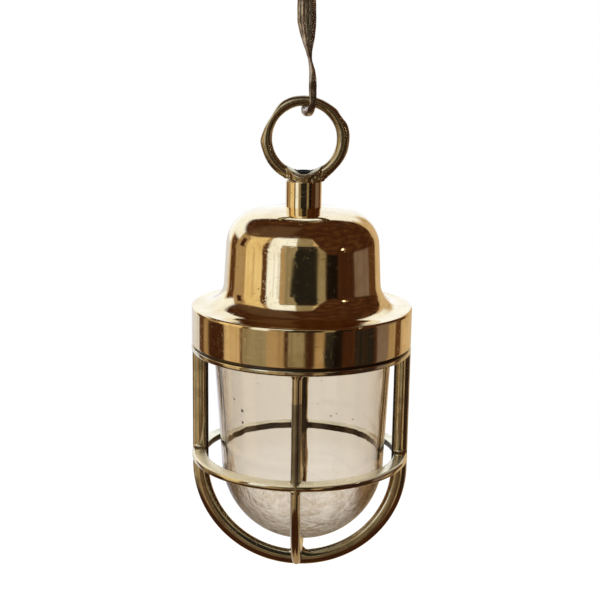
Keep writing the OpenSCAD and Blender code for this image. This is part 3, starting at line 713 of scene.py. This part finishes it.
def hook_stations():
    """Down the forged leaf, in millimetres: place, width, depth and turn, to the top of the curl."""
    riser_x = curl_shift + curl_mid_r * math.sin(curl_turn)
    riser_y = -curl_mid_r * math.cos(curl_turn)
    rows = [
        (-8.5, 0.0, 0.0, 11.6, 6.0, 0.0), (-14, 0.3, 0.0, 12.2, 5.8, 0.0), (-25, 0.5, 0.03, 12.3, 5.4, 0.0),
        (-34, 1.25, 0.1, 9.8, 5.2, 0.03), (-40.5, 1.7, 0.2, 6.6, 5.0, 0.06), (-43.7, 2.1, 0.28, 4.7, 5.0, 0.1),
        (-50, 3.1, 0.48, 2.7, 5.0, 0.3), (-56.4, 4.5, 0.74, 3.8, 4.5, 0.75), (-62, 5.1, 0.93, 4.7, 3.9, 1.0),
        (-66, 5.25, 1.0, 5.1, 3.7, 1.0), (curl_z, riser_x, 1.0, 5.0, 3.7, 1.0)]
    return [(Vector((x, riser_y * share, z)), w, d, curl_turn * t) for z, x, share, w, d, t in rows]


def smooth_between(values, steps):
    """Catmull-Rom through a list of vectors."""
    out = []
    for i in range(len(values) - 1):
        p0, p1 = values[max(i - 1, 0)], values[i]
        p2, p3 = values[i + 1], values[min(i + 2, len(values) - 1)]
        for k in range(steps):
            t = k / steps
            out.append(0.5 * (2 * p1 + (p2 - p0) * t + (2 * p0 - 5 * p1 + 4 * p2 - p3) * t * t
                              + (3 * p1 - p0 - 3 * p2 + p3) * t ** 3))
    out.append(values[-1])
    return out


def hook_rings():
    """Centres and half-axes of the hook's sections, down the leaf and round the curl."""
    stations = hook_stations()
    places = smooth_between([s[0] for s in stations], 10)
    sizes = smooth_between([Vector((s[1], s[2], s[3])) for s in stations], 10)
    rings = []
    for i, (p, size) in enumerate(zip(places, sizes)):
        ahead = places[min(i + 1, len(places) - 1)] - places[max(i - 1, 0)]
        across = Vector((math.cos(size.z), math.sin(size.z), 0))
        back = ahead.normalized().cross(across).normalized()
        rings.append((p, across * size.x / 2, back * size.y / 2))
    turn = Matrix.Rotation(curl_turn, 3, "Z")
    middle = Vector((curl_shift, 0, curl_z))
    steps = 60
    for i in range(1, steps + 1):
        a = curl_sweep * i / steps
        out = Vector((0, -math.cos(a), -math.sin(a)))
        taper = min(1.0, (steps - i) / 7)
        grow = math.sqrt(max(0.02, 1 - (1 - taper) ** 2))
        lobe = math.exp(-((math.degrees(a) - 112) / 38) ** 2)
        rings.append((middle + turn @ (out * (curl_mid_r + 0.9 * lobe)),
                      turn @ Vector((strap_w / 2 * grow * (1 + 0.3 * lobe), 0, 0)),
                      turn @ out * ((strap_t / 2 + 0.9 * lobe) * grow)))
    return rings


def make_hook():
    """The forged hook: eye, folded leaf, half twist and the strap curled round the ring."""
    sides = 48
    verts = []
    faces = []
    rings = hook_rings()
    for p, across, back in rings:
        fold = min(1.0, max(0.0, (p.z + 58) / 16)) * min(1.0, max(0.0, (-9 - p.z) / 6))
        for j in range(sides):
            c, s = math.cos(TURN * j / sides), math.sin(TURN * j / sides)
            wide, deep = [math.copysign(abs(q) ** 0.72, q) for q in (c, s)]
            if s * back.y < 0:
                deep += math.copysign(fold * fold_height(wide), s)
            verts.append(p + across * wide + back * deep)
    for i in range(len(rings) - 1):
        for j in range(sides):
            k = (j + 1) % sides
            faces.append((i * sides + j, i * sides + k, (i + 1) * sides + k, (i + 1) * sides + j))
    faces += [tuple(range(sides)), tuple(range((len(rings) - 1) * sides, len(rings) * sides))]
    hook = mesh_object("forged_hook", verts, faces)
    half = eye_thick / 2
    outline = rounded([(eye_bore_r, -half, 1.4), (eye_r, -half, 2.2), (eye_r, half, 2.2), (eye_bore_r, half, 1.4)])
    eye = lathe("eye", outline, 96, lift=0)
    eye.data.transform(Matrix.Rotation(math.pi / 2, 4, "X"))
    joined(hook, [eye])
    remeshed(hook, 0.3, 2)
    rough_up(hook, 3.2, 0.12, 5)
    rough_up(hook, 9, 0.12, 8)
    return finish_piece(hook, "hook", "dark_iron", "suspension_hook", angle=60)


def fold_height(wide):
    """Relief across the leaf's front, from its left edge at -1: a ridge, a crease and a broad swell."""
    ridge = math.exp(-((wide + 0.72) / 0.2) ** 2) * 0.20
    crease = -math.exp(-((wide + 0.38) / 0.14) ** 2) * 0.36
    swell = math.exp(-((wide - 0.02) / 0.16) ** 2) * 0.16 + math.exp(-((wide - 0.48) / 0.2) ** 2) * 0.16
    return ridge + crease + swell


# Guard

def web(distance, radius):
    """Extra half-width of a cast bar near a joint, as a quarter-round web."""
    if not 0 <= distance < radius:
        return radius if distance < 0 else 0.0
    return radius - math.sqrt(radius ** 2 - (radius - distance) ** 2)


def hoop_path(step):
    """Down one leg and round to the middle of the foot: place, outward normal, half-width and web inside."""
    mid_r = guard_r - bar_depth / 2
    stations = []
    fine = 2
    for i in range(int((arc_drop - 3) * fine) + 1):
        z = -3 - i / fine
        joint = abs(z - girdle_mid) - girdle_h / 2
        half = bar_width / 2 + max(web(collar_low - z, 3.2), web(joint, 2.4) if 0 <= joint < 2.4 else 0)
        stations.append((mid_r, z, (1, 0), half, 0))
    quarter = 60
    for i in range(1, quarter + 1):
        a = math.pi / 2 * i / quarter
        x = step + (mid_r - step) * math.cos(a)
        stations.append((x, -arc_drop - (mid_r - step) * math.sin(a), (math.cos(a), -math.sin(a)),
                         bar_width / 2, foot_web(x, step)))
    for i in range(1, 9):
        if step:
            stations.append((step * (1 - i / 8), -arc_drop - (mid_r - step), (0, -1), bar_width / 2, 0))
    return stations


def foot_web(x, step):
    """Where the lower hoop rises in a round web against the side of the upper hoop's foot."""
    radius = 4.5
    return 0 if step else radius if x < bar_width / 2 else web(x - bar_width / 2, radius)


def bar_section(half_width, half_depth, inner, count=28):
    """Rounded section (across, out) round one station of a bar, made deeper inside by a web."""
    points = []
    for k in range(count):
        a = TURN * (k + 0.5) / count
        c, s = [math.copysign(abs(q) ** 0.94, q) for q in (math.cos(a), math.sin(a))]
        points.append((half_width * c, s * (half_depth + (inner if s < 0 else 0))))
    return points


def make_hoop(step):
    """One hoop: a leg and half a foot, copied half a turn round and merged where the halves meet."""
    verts = []
    faces = []
    stations = hoop_path(step)
    stations[-1] = (0,) + stations[-1][1:]
    for x, z, normal, half, inner in stations:
        section = bar_section(half, bar_depth / 2, inner)
        verts += [(x + normal[0] * out, across, z + normal[1] * out) for across, out in section]
    sides = len(section)
    for i in range(len(stations) - 1):
        for j in range(sides):
            k = (j + 1) % sides
            faces.append((i * sides + j, i * sides + k, (i + 1) * sides + k, (i + 1) * sides + j))
    faces.append(tuple(range(sides)))
    half_hoop = mesh_object("half_hoop", verts, faces, lift=seam_z)
    hoop = turned_copies(half_hoop, 2, math.pi, materials["guard_brass"])
    bm = bmesh.new()
    bm.from_mesh(hoop.data)
    bmesh.ops.remove_doubles(bm, verts=bm.verts, dist=1e-5)
    bmesh.ops.recalc_face_normals(bm, faces=bm.faces)
    bm.to_mesh(hoop.data)
    bm.free()
    return hoop


def make_repeat_tree():
    """Copies of a shape turned round the Z axis: their count and step are its inputs."""
    tree = bpy.data.node_groups.new("Turned copies", "GeometryNodeTree")
    given, out = group_sockets(
        tree,
        [("Geometry", "NodeSocketGeometry", None), ("Count", "NodeSocketInt", 2),
         ("Step", "NodeSocketFloat", math.pi / 2), ("Material", "NodeSocketMaterial", None)],
        [("Geometry", "NodeSocketGeometry")])
    points = put(tree, "GeometryNodePoints", {"Count": given["Count"]})
    index = put(tree, "GeometryNodeInputIndex").outputs[0]
    angle = put(tree, "ShaderNodeMath", {0: index, 1: given["Step"]}, operation="MULTIPLY").outputs[0]
    turn = put(tree, "ShaderNodeCombineXYZ", {"Z": angle}).outputs[0]
    copies = put(tree, "GeometryNodeInstanceOnPoints", {"Points": points.outputs[0],
                                                       "Instance": given["Geometry"], "Rotation": turn})
    solid = put(tree, "GeometryNodeRealizeInstances", {0: copies.outputs[0]})
    painted = put(tree, "GeometryNodeSetMaterial", {"Geometry": solid.outputs[0],
                                                   "Material": given["Material"]})
    tree.links.new(painted.outputs[0], out["Geometry"])
    return tree


def set_inputs(modifier, **values):
    """Sets a geometry modifier's inputs, found by name, through their identifiers."""
    for item in modifier.node_group.interface.items_tree:
        if item.item_type == "SOCKET" and item.in_out == "INPUT" and item.name in values:
            modifier[item.identifier] = values[item.name]


def turned_copies(obj, count, step, material):
    modifier = obj.modifiers.new("copies", "NODES")
    modifier.node_group = repeat_tree
    set_inputs(modifier, Count=count, Step=step, Material=material)
    return apply_modifiers(obj)


repeat_tree = make_repeat_tree()


def make_guard():
    """The guard in one skin: collar with ledge and threaded spigot, girdle and two nested hoops."""
    bar_in_r = guard_r - bar_depth
    outline = rounded([
        (bar_in_r, collar_low, 0.8), (guard_r, collar_low, 1.4), (guard_r, collar_top - 1.5, 0.5),
        (guard_r - 1.9, collar_top - 1.5, 0.3), (guard_r - 1.9, collar_top, 0.2),
        (spigot_r, collar_top, 0.3), (spigot_r, spigot_top, 0.8), (spigot_in_r, spigot_top, 0.6),
        (spigot_in_r, ledge_top, 0.2), (ledge_r, ledge_top, 0.5), (ledge_r, ledge_low, 0.5),
        (bar_in_r, ledge_low, 0.4)])
    outline = densify(outline, 0.8)

    def shape(r, z, a):
        threaded = abs(r - spigot_r) < 0.01 and 1.2 < z < spigot_top - 0.9
        return (r - groove(z, a), z) if threaded else (r, z)

    guard = lathe("cast_guard", outline, 320, shape=shape)
    half = girdle_h / 2
    girdle = lathe("girdle", rounded([
        (guard_r - girdle_depth, girdle_mid - half, 2.4), (guard_r, girdle_mid - half, 2.2),
        (guard_r, girdle_mid + half, 2.0), (guard_r - girdle_depth, girdle_mid + half, 2.0)]), 288)
    side_hoop = make_hoop(0)
    front_hoop = make_hoop(hoop_step)
    front_hoop.data.transform(Matrix.Rotation(math.pi / 2, 4, "Z"))
    combine(guard, [girdle, side_hoop, front_hoop])
    return finish_piece(guard, "guard", "guard_brass", "guard_collar", "guard_girdle", "side_hoop", "front_hoop",
                        angle=30)


# Jar

def arc(middle_z, radius, start, end, steps):
    """Points of an arc about the axis, from one angle below the horizontal to another, in degrees."""
    out = []
    for k in range(steps + 1):
        a = math.radians(start + (end - start) * k / steps)
        out.append((radius * math.cos(a), middle_z - radius * math.sin(a)))
    return out


def make_jar():
    """The pressed jar: a round bottom, a drawn taper, a lip, and slow waves in its walls."""
    inner_low_r = jar_low_r - jar_wall
    inner_top_r = jar_top_r - jar_wall
    outer = arc(-jar_drop, jar_low_r, 90, 0, 44)
    outer[0] = (0, outer[0][1])
    neck = rounded([(jar_low_r, -jar_drop, 0), (jar_top_r, lip_low, 0.6), (lip_r, lip_low, 1.0),
                    (lip_r, lip_top, 1.2), (inner_top_r, lip_top, 1.6), (inner_low_r, -jar_drop, 0)],
                   closed=False)
    inner = arc(-jar_drop, inner_low_r, 0, 90, 44)
    inner[-1] = (0, inner[-1][1])
    outline = outer[:-1] + densify(neck, 2.5, closed=False) + inner[1:]

    def shape(r, z, a):
        if z > lip_low - 2:
            return r, z
        where = Vector((r * math.sin(a), r * math.cos(a), z * 0.35))
        outside = (r > jar_low_r - 1) if z > -jar_drop else math.hypot(r, z + jar_drop) > jar_low_r - 1
        height = 0.08 if outside else 0.15
        return r - abs(bump_noise(where, 16, 2 if outside else 7)) * height, z

    jar = lathe("pressed_jar", outline, 256, closed=False, shape=shape)
    joined(jar, [make_bubbles()])
    for vert in jar.data.vertices:
        depth = seam_z + collar_low * MM - vert.co.z
        if depth > 0:
            vert.co.x += min(0.9 * MM, depth * 0.12) + 1.1 * MM * min(1, depth / (80 * MM))
    return finish_piece(jar, "jar", "clear_glass", "glass_jar", angle=40)


def make_bubble_tree():
    """Small air bubbles scattered in a sheet of glass: a fixed seed, named sizes and count."""
    tree = bpy.data.node_groups.new("Air bubbles", "GeometryNodeTree")
    given, out = group_sockets(
        tree,
        [("Geometry", "NodeSocketGeometry", None), ("Density", "NodeSocketFloat", 1.0),
         ("Seed", "NodeSocketInt", 1), ("Smallest", "NodeSocketFloat", 0.2 * MM),
         ("Largest", "NodeSocketFloat", 0.7 * MM), ("Material", "NodeSocketMaterial", None)],
        [("Geometry", "NodeSocketGeometry")])
    spread = put(tree, "GeometryNodeDistributePointsOnFaces",
                 {"Mesh": given["Geometry"], "Density": given["Density"], "Seed": given["Seed"]})
    size = put(tree, "FunctionNodeRandomValue", {2: given["Smallest"], 3: given["Largest"],
                                                 "Seed": given["Seed"]}, data_type="FLOAT")
    ball = put(tree, "GeometryNodeMeshIcoSphere", {"Radius": 1.0, "Subdivisions": 3})
    copies = put(tree, "GeometryNodeInstanceOnPoints", {"Points": spread.outputs[0],
                                                       "Instance": ball.outputs[0],
                                                       "Scale": size.outputs[1]})
    solid = put(tree, "GeometryNodeRealizeInstances", {0: copies.outputs[0]})
    inside_out = put(tree, "GeometryNodeFlipFaces", {0: solid.outputs[0]})
    painted = put(tree, "GeometryNodeSetMaterial", {"Geometry": inside_out.outputs[0],
                                                   "Material": given["Material"]})
    tree.links.new(painted.outputs[0], out["Geometry"])
    return tree


def make_bubbles():
    """Bubbles in the middle of the jar's wall. Their faces point into the air that they hold."""
    middle = jar_wall / 2
    sheet = lathe("bubble_sheet", [(jar_low_r - middle, -jar_drop), (jar_top_r - middle, 6)], 96, closed=False)
    modifier = sheet.modifiers.new("bubbles", "NODES")
    modifier.node_group = make_bubble_tree()
    set_inputs(modifier, Density=900.0, Seed=5, Smallest=0.12 * MM, Largest=0.55 * MM,
               Material=materials["clear_glass"])
    return apply_modifiers(sheet)


# Lampholder and small parts

def dressed(node, body, slot, bevel=0.15, angle=35):
    """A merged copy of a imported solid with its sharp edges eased."""
    source = frame["nodes"][node]
    mesh = source.data.copy()
    bm = bmesh.new()
    bm.from_mesh(mesh)
    bmesh.ops.remove_doubles(bm, verts=bm.verts, dist=2e-6)
    bm.to_mesh(mesh)
    bm.free()
    obj = new_object(node + "_eased", mesh)
    modifier = obj.modifiers.new("ease", "BEVEL")
    modifier.width = bevel * MM
    modifier.segments = 2
    modifier.limit_method = "ANGLE"
    modifier.angle_limit = math.radians(angle)
    modifier.use_clamp_overlap = True
    apply_modifiers(obj)
    return finish_piece(obj, body, slot, node, angle=angle)


def make_shell():
    """The rolled screw shell with its round thread, its neck and the tab to its screw."""
    inner_r, step, wall = 13.3, 1.2, 0.6
    low, high = 33, 53
    neck_low = high - 5.6
    outline = densify([(inner_r, low), (inner_r, neck_low - 0.6), (inner_r - step, neck_low + 0.4),
                       (inner_r - step, high), (inner_r - step + wall, high),
                       (inner_r - step + wall, neck_low + 0.4), (inner_r + wall, neck_low - 0.6),
                       (inner_r + wall, low)], 0.45)

    def shape(r, z, a):
        fade = min(1, max(0, (z - low - 0.8) / 1.5)) * min(1, max(0, (neck_low - 0.8 - z) / 1.5))
        return r - 0.9 * fade * (0.5 - 0.5 * math.cos(TURN * (z / 3.62 - a / TURN))), z

    shell = lathe("rolled_shell", outline, 96, shape=shape)
    tab = bpy.data.meshes.new("tab")
    bm = bmesh.new()
    bmesh.ops.create_cube(bm, size=1)
    bmesh.ops.scale(bm, vec=Vector((9.4, 6.6, wall)) * MM, verts=bm.verts)
    bmesh.ops.translate(bm, vec=Vector((9.1 * MM, 0, seam_z + (high - wall / 2) * MM)), verts=bm.verts)
    bm.to_mesh(tab)
    bm.free()
    combine(shell, [new_object("tab", tab)])
    combine(shell, [rod("hole", 1.6, 49, 55, 8, 0)], "DIFFERENCE")
    return finish_piece(shell, "lamp", "turned_brass", "screw_shell", angle=40)


def dress_small_parts():
    slots = {row["node"]: row["material_slot"] for row in frame["record"]["subparts"]}
    own = {"suspension_hook", "hanging_ring", "neck_stem", "dome_cap", "glass_jar", "guard_collar",
           "guard_girdle", "side_hoop", "front_hoop", "screw_shell"}
    bodies = frame["record"]["behaviour"]["bodies"]
    for body, nodes in bodies.items():
        for node in nodes:
            if node not in own:
                ease = 0.6 if node == "holder_body" else 0.15
                dressed(node, body, slots[node], ease)


# Stage

def eye_paths(tree):
    """Rays that see the background straight or through glass, and rays that a mirror has turned."""
    path = put(tree, "ShaderNodeLightPath").outputs
    turned = maths(tree, "GREATER_THAN", path["Glossy Depth"], 0.5)
    straight = maths(tree, "MULTIPLY", path["Is Transmission Ray"], maths(tree, "SUBTRACT", 1.0, turned))
    sharp = maths(tree, "SUBTRACT", 1.0, path["Is Diffuse Ray"])
    return maths(tree, "MAXIMUM", path["Is Camera Ray"], straight), maths(tree, "MULTIPLY", turned, sharp)


def make_floor():
    """A wide pale floor that fades into the background at its edge and keeps the light's shadow."""
    radius = 3.2
    mesh = bpy.data.meshes.new("floor")
    bm = bmesh.new()
    bmesh.ops.create_circle(bm, cap_ends=True, segments=96, radius=radius)
    bmesh.ops.translate(bm, vec=(0, 0, cad_low.z - 0.9), verts=bm.verts)
    bm.to_mesh(mesh)
    bm.free()
    floor = new_object("floor", mesh)
    material, tree, shader, place = start_material("pale_floor")
    flat = stretched(tree, place, (1.0, 1.0, 0.0))
    away = put(tree, "ShaderNodeVectorMath", {0: flat}, operation="LENGTH").outputs["Value"]
    shader.inputs["Base Color"].default_value = (0.8, 0.8, 0.79, 1)
    shader.inputs["Roughness"].default_value = 0.9
    seen = eye_paths(tree)[0]
    glow = put(tree, "ShaderNodeEmission", {"Color": (1, 1, 0.995, 1),
                                            "Strength": maths(tree, "MULTIPLY", seen, 0.66)})
    lit = put(tree, "ShaderNodeAddShader", {0: shader.outputs[0], 1: glow.outputs[0]})
    clear = put(tree, "ShaderNodeBsdfTransparent")
    edge = put(tree, "ShaderNodeMixShader", {0: remap(tree, away, radius * 0.35, radius * 0.95),
                                             1: lit.outputs[0], 2: clear.outputs[0]})
    tree.links.new(edge.outputs[0], tree.nodes["Material Output"].inputs["Surface"])
    floor.data.materials.append(material)
    floor.visible_glossy = False
    return floor


# Tones of the warm room that polished metal mirrors
CREAM = (1.06, 1.12, 1.24, 1)
PALE = (0.80, 0.80, 0.86, 1)
BRIGHT_GOLD = (0.92, 0.72, 0.40, 1)
GOLD = (0.66, 0.48, 0.28, 1)
TAN = (0.44, 0.30, 0.16, 1)
OLIVE = (0.32, 0.26, 0.16, 1)
GREY = (0.21, 0.15, 0.12, 1)
BROWN = (0.11, 0.045, 0.016, 1)
UMBER = (0.12, 0.07, 0.04, 1)
DEEP = (0.05, 0.016, 0.006, 1)
BLACK = (0.007, 0.004, 0.003, 1)
SHADE = (0.016, 0.014, 0.011, 1)

# Bearings in degrees from the front, to the right, and what stands there: level with the eye, and lower
EYE_LEVEL = [
    (-180, -137, PALE), (-137, -131, GOLD), (-131, -115, BROWN), (-115, -90, TAN), (-90, -60, BRIGHT_GOLD),
    (-60, -51, BROWN), (-51, -31, CREAM), (-31, -2, OLIVE), (-2, 24, SHADE), (24, 36, OLIVE),
    (36, 55, BLACK), (55, 84, DEEP), (84, 116, GREY), (116, 139, BROWN), (139, 180, GOLD)]
LOW_LEVEL = [
    (-180, -131, PALE), (-131, -120, BROWN), (-120, -110, TAN), (-110, -86, DEEP), (-86, -64, GOLD),
    (-64, -60, BROWN), (-60, -33, OLIVE), (-33, -16, TAN), (-16, -12, DEEP), (-12, 5, OLIVE),
    (5, 15, DEEP), (15, 26, TAN), (26, 36, SHADE), (36, 45, BLACK), (45, 57, DEEP), (57, 82, SHADE), (82, 86, DEEP), (86, 103, GREY),
    (103, 117, TAN), (117, 128, BROWN), (128, 180, GOLD)]
HIGH_LEVEL = [
    (-180, -137, PALE), (-137, -113, CREAM), (-113, -97, TAN), (-97, -60, BRIGHT_GOLD), (-60, -52, TAN),
    (-52, -8, CREAM), (-8, 20, OLIVE), (20, 36, GOLD), (36, 55, DEEP), (55, 116, DEEP), (116, 136, BROWN),
    (136, 180, GOLD)]
# Bright and dark patches on the walls: bearings, heights, softness of the edge, and colour
PATCHES = [
    ((-190, -113), (12, 90), 3, CREAM), ((-190, -136), (-2, 90), 3, CREAM), ((136, 200), (36, 90), 4, CREAM),
    ((152, 200), (24, 90), 5, CREAM),
    ((166, 200), (-4, 90), 3, CREAM), ((-15, 9), (-26, -16.8), 0.7, UMBER),
    ((-105, -95), (3, 20), 1.5, DEEP), ((-31, -24), (-8, 22), 2, TAN)]
# Where the brown ceiling starts: bearing and height in degrees
CEILING = [
    (-180, 57), (-160, 45), (-147, 33), (-127, 30), (-105, 26), (-90, 30), (-74, 37), (-45, 48), (-3, 53),
    (20, 50), (30, 17), (40, 0), (130, 0), (140, 20), (150, 40), (160, 45), (180, 57)]


def ramp(tree, value, stops):
    """Colour ramp with a stop for each (bearing, colour)."""
    node = put(tree, "ShaderNodeValToRGB", {0: value})
    band = node.color_ramp
    while len(band.elements) > 1:
        band.elements.remove(band.elements[-1])
    band.elements[0].position = stops[0][0] / 360 + 0.5
    band.elements[0].color = stops[0][1]
    for degrees, colour in stops[1:]:
        band.elements.new(degrees / 360 + 0.5).color = colour
    return node.outputs[0]


def stripes(tree, value, spec, soft=1.6):
    """Ramps for a row of panels (from, to, colour) with soft edges, split in two for the stop limit."""
    halves = []
    for side in (spec[:len(spec) // 2 + 1], spec[len(spec) // 2:]):
        stops = []
        for low, high, colour in side:
            stops += [(low + soft / 2, colour), (high - soft / 2, colour)]
        halves.append(ramp(tree, value, stops))
    parting = sum(spec[len(spec) // 2][:2]) / 2 / 360 + 0.5
    return mix(tree, maths(tree, "GREATER_THAN", value, parting), halves[0], halves[1])


def make_world():
    """White to the eye and through glass, plain to matt surfaces, a warm room to polished ones."""
    world = bpy.data.worlds.new("studio")
    bpy.context.scene.world = world
    world.use_nodes = True
    tree = world.node_tree
    tree.nodes.clear()
    way = put(tree, "ShaderNodeTexCoord").outputs["Generated"]
    axes = put(tree, "ShaderNodeSeparateXYZ", {0: way}).outputs
    bearing = maths(tree, "ARCTAN2", axes["X"], maths(tree, "MULTIPLY", axes["Y"], -1.0))
    height = maths(tree, "MULTIPLY", maths(tree, "ARCSINE", axes["Z"]), 180 / math.pi)
    ragged = cloud(tree, stretched(tree, way, (5.0, 5.0, 9.0)), 1.0, 3.0)
    sway = maths(tree, "MULTIPLY_ADD", ragged, 0.02, 0.49)
    share = maths(tree, "MULTIPLY_ADD", bearing, 1 / TURN, sway)
    rows = mix(tree, remap(tree, height, -12.4, -10.8), stripes(tree, share, LOW_LEVEL),
               stripes(tree, share, EYE_LEVEL))
    streaks = cloud(tree, stretched(tree, way, (16.0, 16.0, 1.5)), 1.0, 4.0, 0.7)
    rows = mix(tree, remap(tree, height, 25.0, 29.0), rows, stripes(tree, share, HIGH_LEVEL))
    rows = mix(tree, maths(tree, "MULTIPLY", remap(tree, streaks, 0.5, 0.72), 0.45), rows, BROWN)
    degrees = maths(tree, "MULTIPLY_ADD", share, 360.0, -180.0)
    for (left, right), (low, high), soft, colour in PATCHES:
        patch = maths(tree, "MULTIPLY", band(tree, degrees, left, right, soft), band(tree, height, low, high, soft))
        rows = mix(tree, patch, rows, colour)
    slant = maths(tree, "ADD", remap(tree, height, -5.6, -2.8, -16.0, -10.0), remap(tree, height, -3.0, 27.0, 0.0, 4.0))
    panel = remap(tree, maths(tree, "SUBTRACT", degrees, slant), -0.8, 0.8)
    panel = maths(tree, "MULTIPLY", panel, band(tree, height, -12.0, 27.0, 1.0))
    walls = mix(tree, maths(tree, "MULTIPLY", panel, remap(tree, degrees, 1.0, 0.0)), rows, SHADE)
    start = ramp(tree, share, [(degrees, (0.5 + up / 180,) * 3 + (1,)) for degrees, up in CEILING])
    above = maths(tree, "SUBTRACT", height, maths(tree, "MULTIPLY_ADD", start, 180.0, -90.0))
    ceiling_tone = mix(tree, remap(tree, ragged, 0.4, 0.75), DEEP, BROWN)
    ceiling_tone = mix(tree, maths(tree, "MULTIPLY", band(tree, degrees, -112, -25, 16), 0.8), ceiling_tone,
                       UMBER)
    room = mix(tree, remap(tree, above, -3.5, 3.5), walls, ceiling_tone)
    ground = mix(tree, band(tree, degrees, -142, 142, 12), TAN, DEEP)
    room = mix(tree, remap(tree, height, -24.0, -34.0), room, ground)
    lamp_way = (math.sin(1.12) * math.cos(0.19), -math.cos(1.12) * math.cos(0.19), math.sin(0.19))
    facing = put(tree, "ShaderNodeVectorMath", {0: way, 1: lamp_way}, operation="DOT_PRODUCT").outputs["Value"]
    room = mix(tree, remap(tree, facing, math.cos(0.036), math.cos(0.018)), room, (9.0, 8.0, 6.0, 1))
    seen, mirrored = eye_paths(tree)
    plain_light = mix(tree, mirrored, (0.66, 0.65, 0.63, 1), room)
    colour = mix(tree, seen, plain_light, (1, 1, 1, 1))
    background = put(tree, "ShaderNodeBackground", {"Color": colour, "Strength": 1.0})
    output = put(tree, "ShaderNodeOutputWorld")
    tree.links.new(background.outputs[0], output.inputs["Surface"])


def aimed(obj, at):
    obj.rotation_euler = (Vector(at) - obj.location).to_track_quat("-Z", "Y").to_euler()


def make_lights():
    """Broad soft lights from above on the left, from the right and from behind."""
    for name, place, size, power, colour in (
            ("key", (-0.9, -0.8, 0.9), 0.9, 9.0, (1.0, 0.95, 0.88)),
            ("fill", (1.2, -0.3, 0.5), 0.7, 3.0, (1.0, 0.93, 0.85)),
            ("back", (0.2, 1.2, 0.9), 0.8, 5.0, (1.0, 0.97, 0.93))):
        light = bpy.data.lights.new(name, "AREA")
        light.size = size
        light.energy = power
        light.color = colour
        obj = bpy.data.objects.new(name, light)
        obj.location = place
        obj.visible_glossy = False
        obj.visible_transmission = False
        bpy.context.scene.collection.objects.link(obj)
        aimed(obj, (0, 0, seam_z))


def make_camera():
    """The photograph's view: close, 14 degrees above the seam and a little to the right."""
    distance = 0.895
    elevation = math.radians(13.92)
    azimuth = math.radians(2.0)
    roll = math.radians(0.85)
    focal_px = 1301.3
    frame_px = 600
    seam_px = (301.395, 340.777)
    data = bpy.data.cameras.new("camera")
    data.sensor_width = 36
    data.lens = focal_px / frame_px * data.sensor_width
    data.shift_x = -(seam_px[0] - frame_px / 2) / frame_px
    data.shift_y = (seam_px[1] - frame_px / 2) / frame_px
    camera = bpy.data.objects.new("camera", data)
    bpy.context.scene.collection.objects.link(camera)
    away = Vector((math.cos(elevation) * math.sin(azimuth), -math.cos(elevation) * math.cos(azimuth),
                   math.sin(elevation)))
    right = Vector((math.cos(azimuth), math.sin(azimuth), 0))
    up = away.cross(right)
    tilted_right = right * math.cos(roll) + up * math.sin(roll)
    tilted_up = up * math.cos(roll) - right * math.sin(roll)
    pose = Matrix((tilted_right, tilted_up, away)).transposed().to_4x4()
    pose.translation = Vector((0, 0, seam_z)) + away * distance
    camera.matrix_world = pose
    bpy.context.scene.camera = camera


for make in (make_camera, make_world, make_lights, make_floor, make_cap, make_neck, make_ring, make_hook,
             make_guard, make_jar, make_shell, dress_small_parts):
    make()

bpy.context.scene.view_settings.view_transform = "Standard"
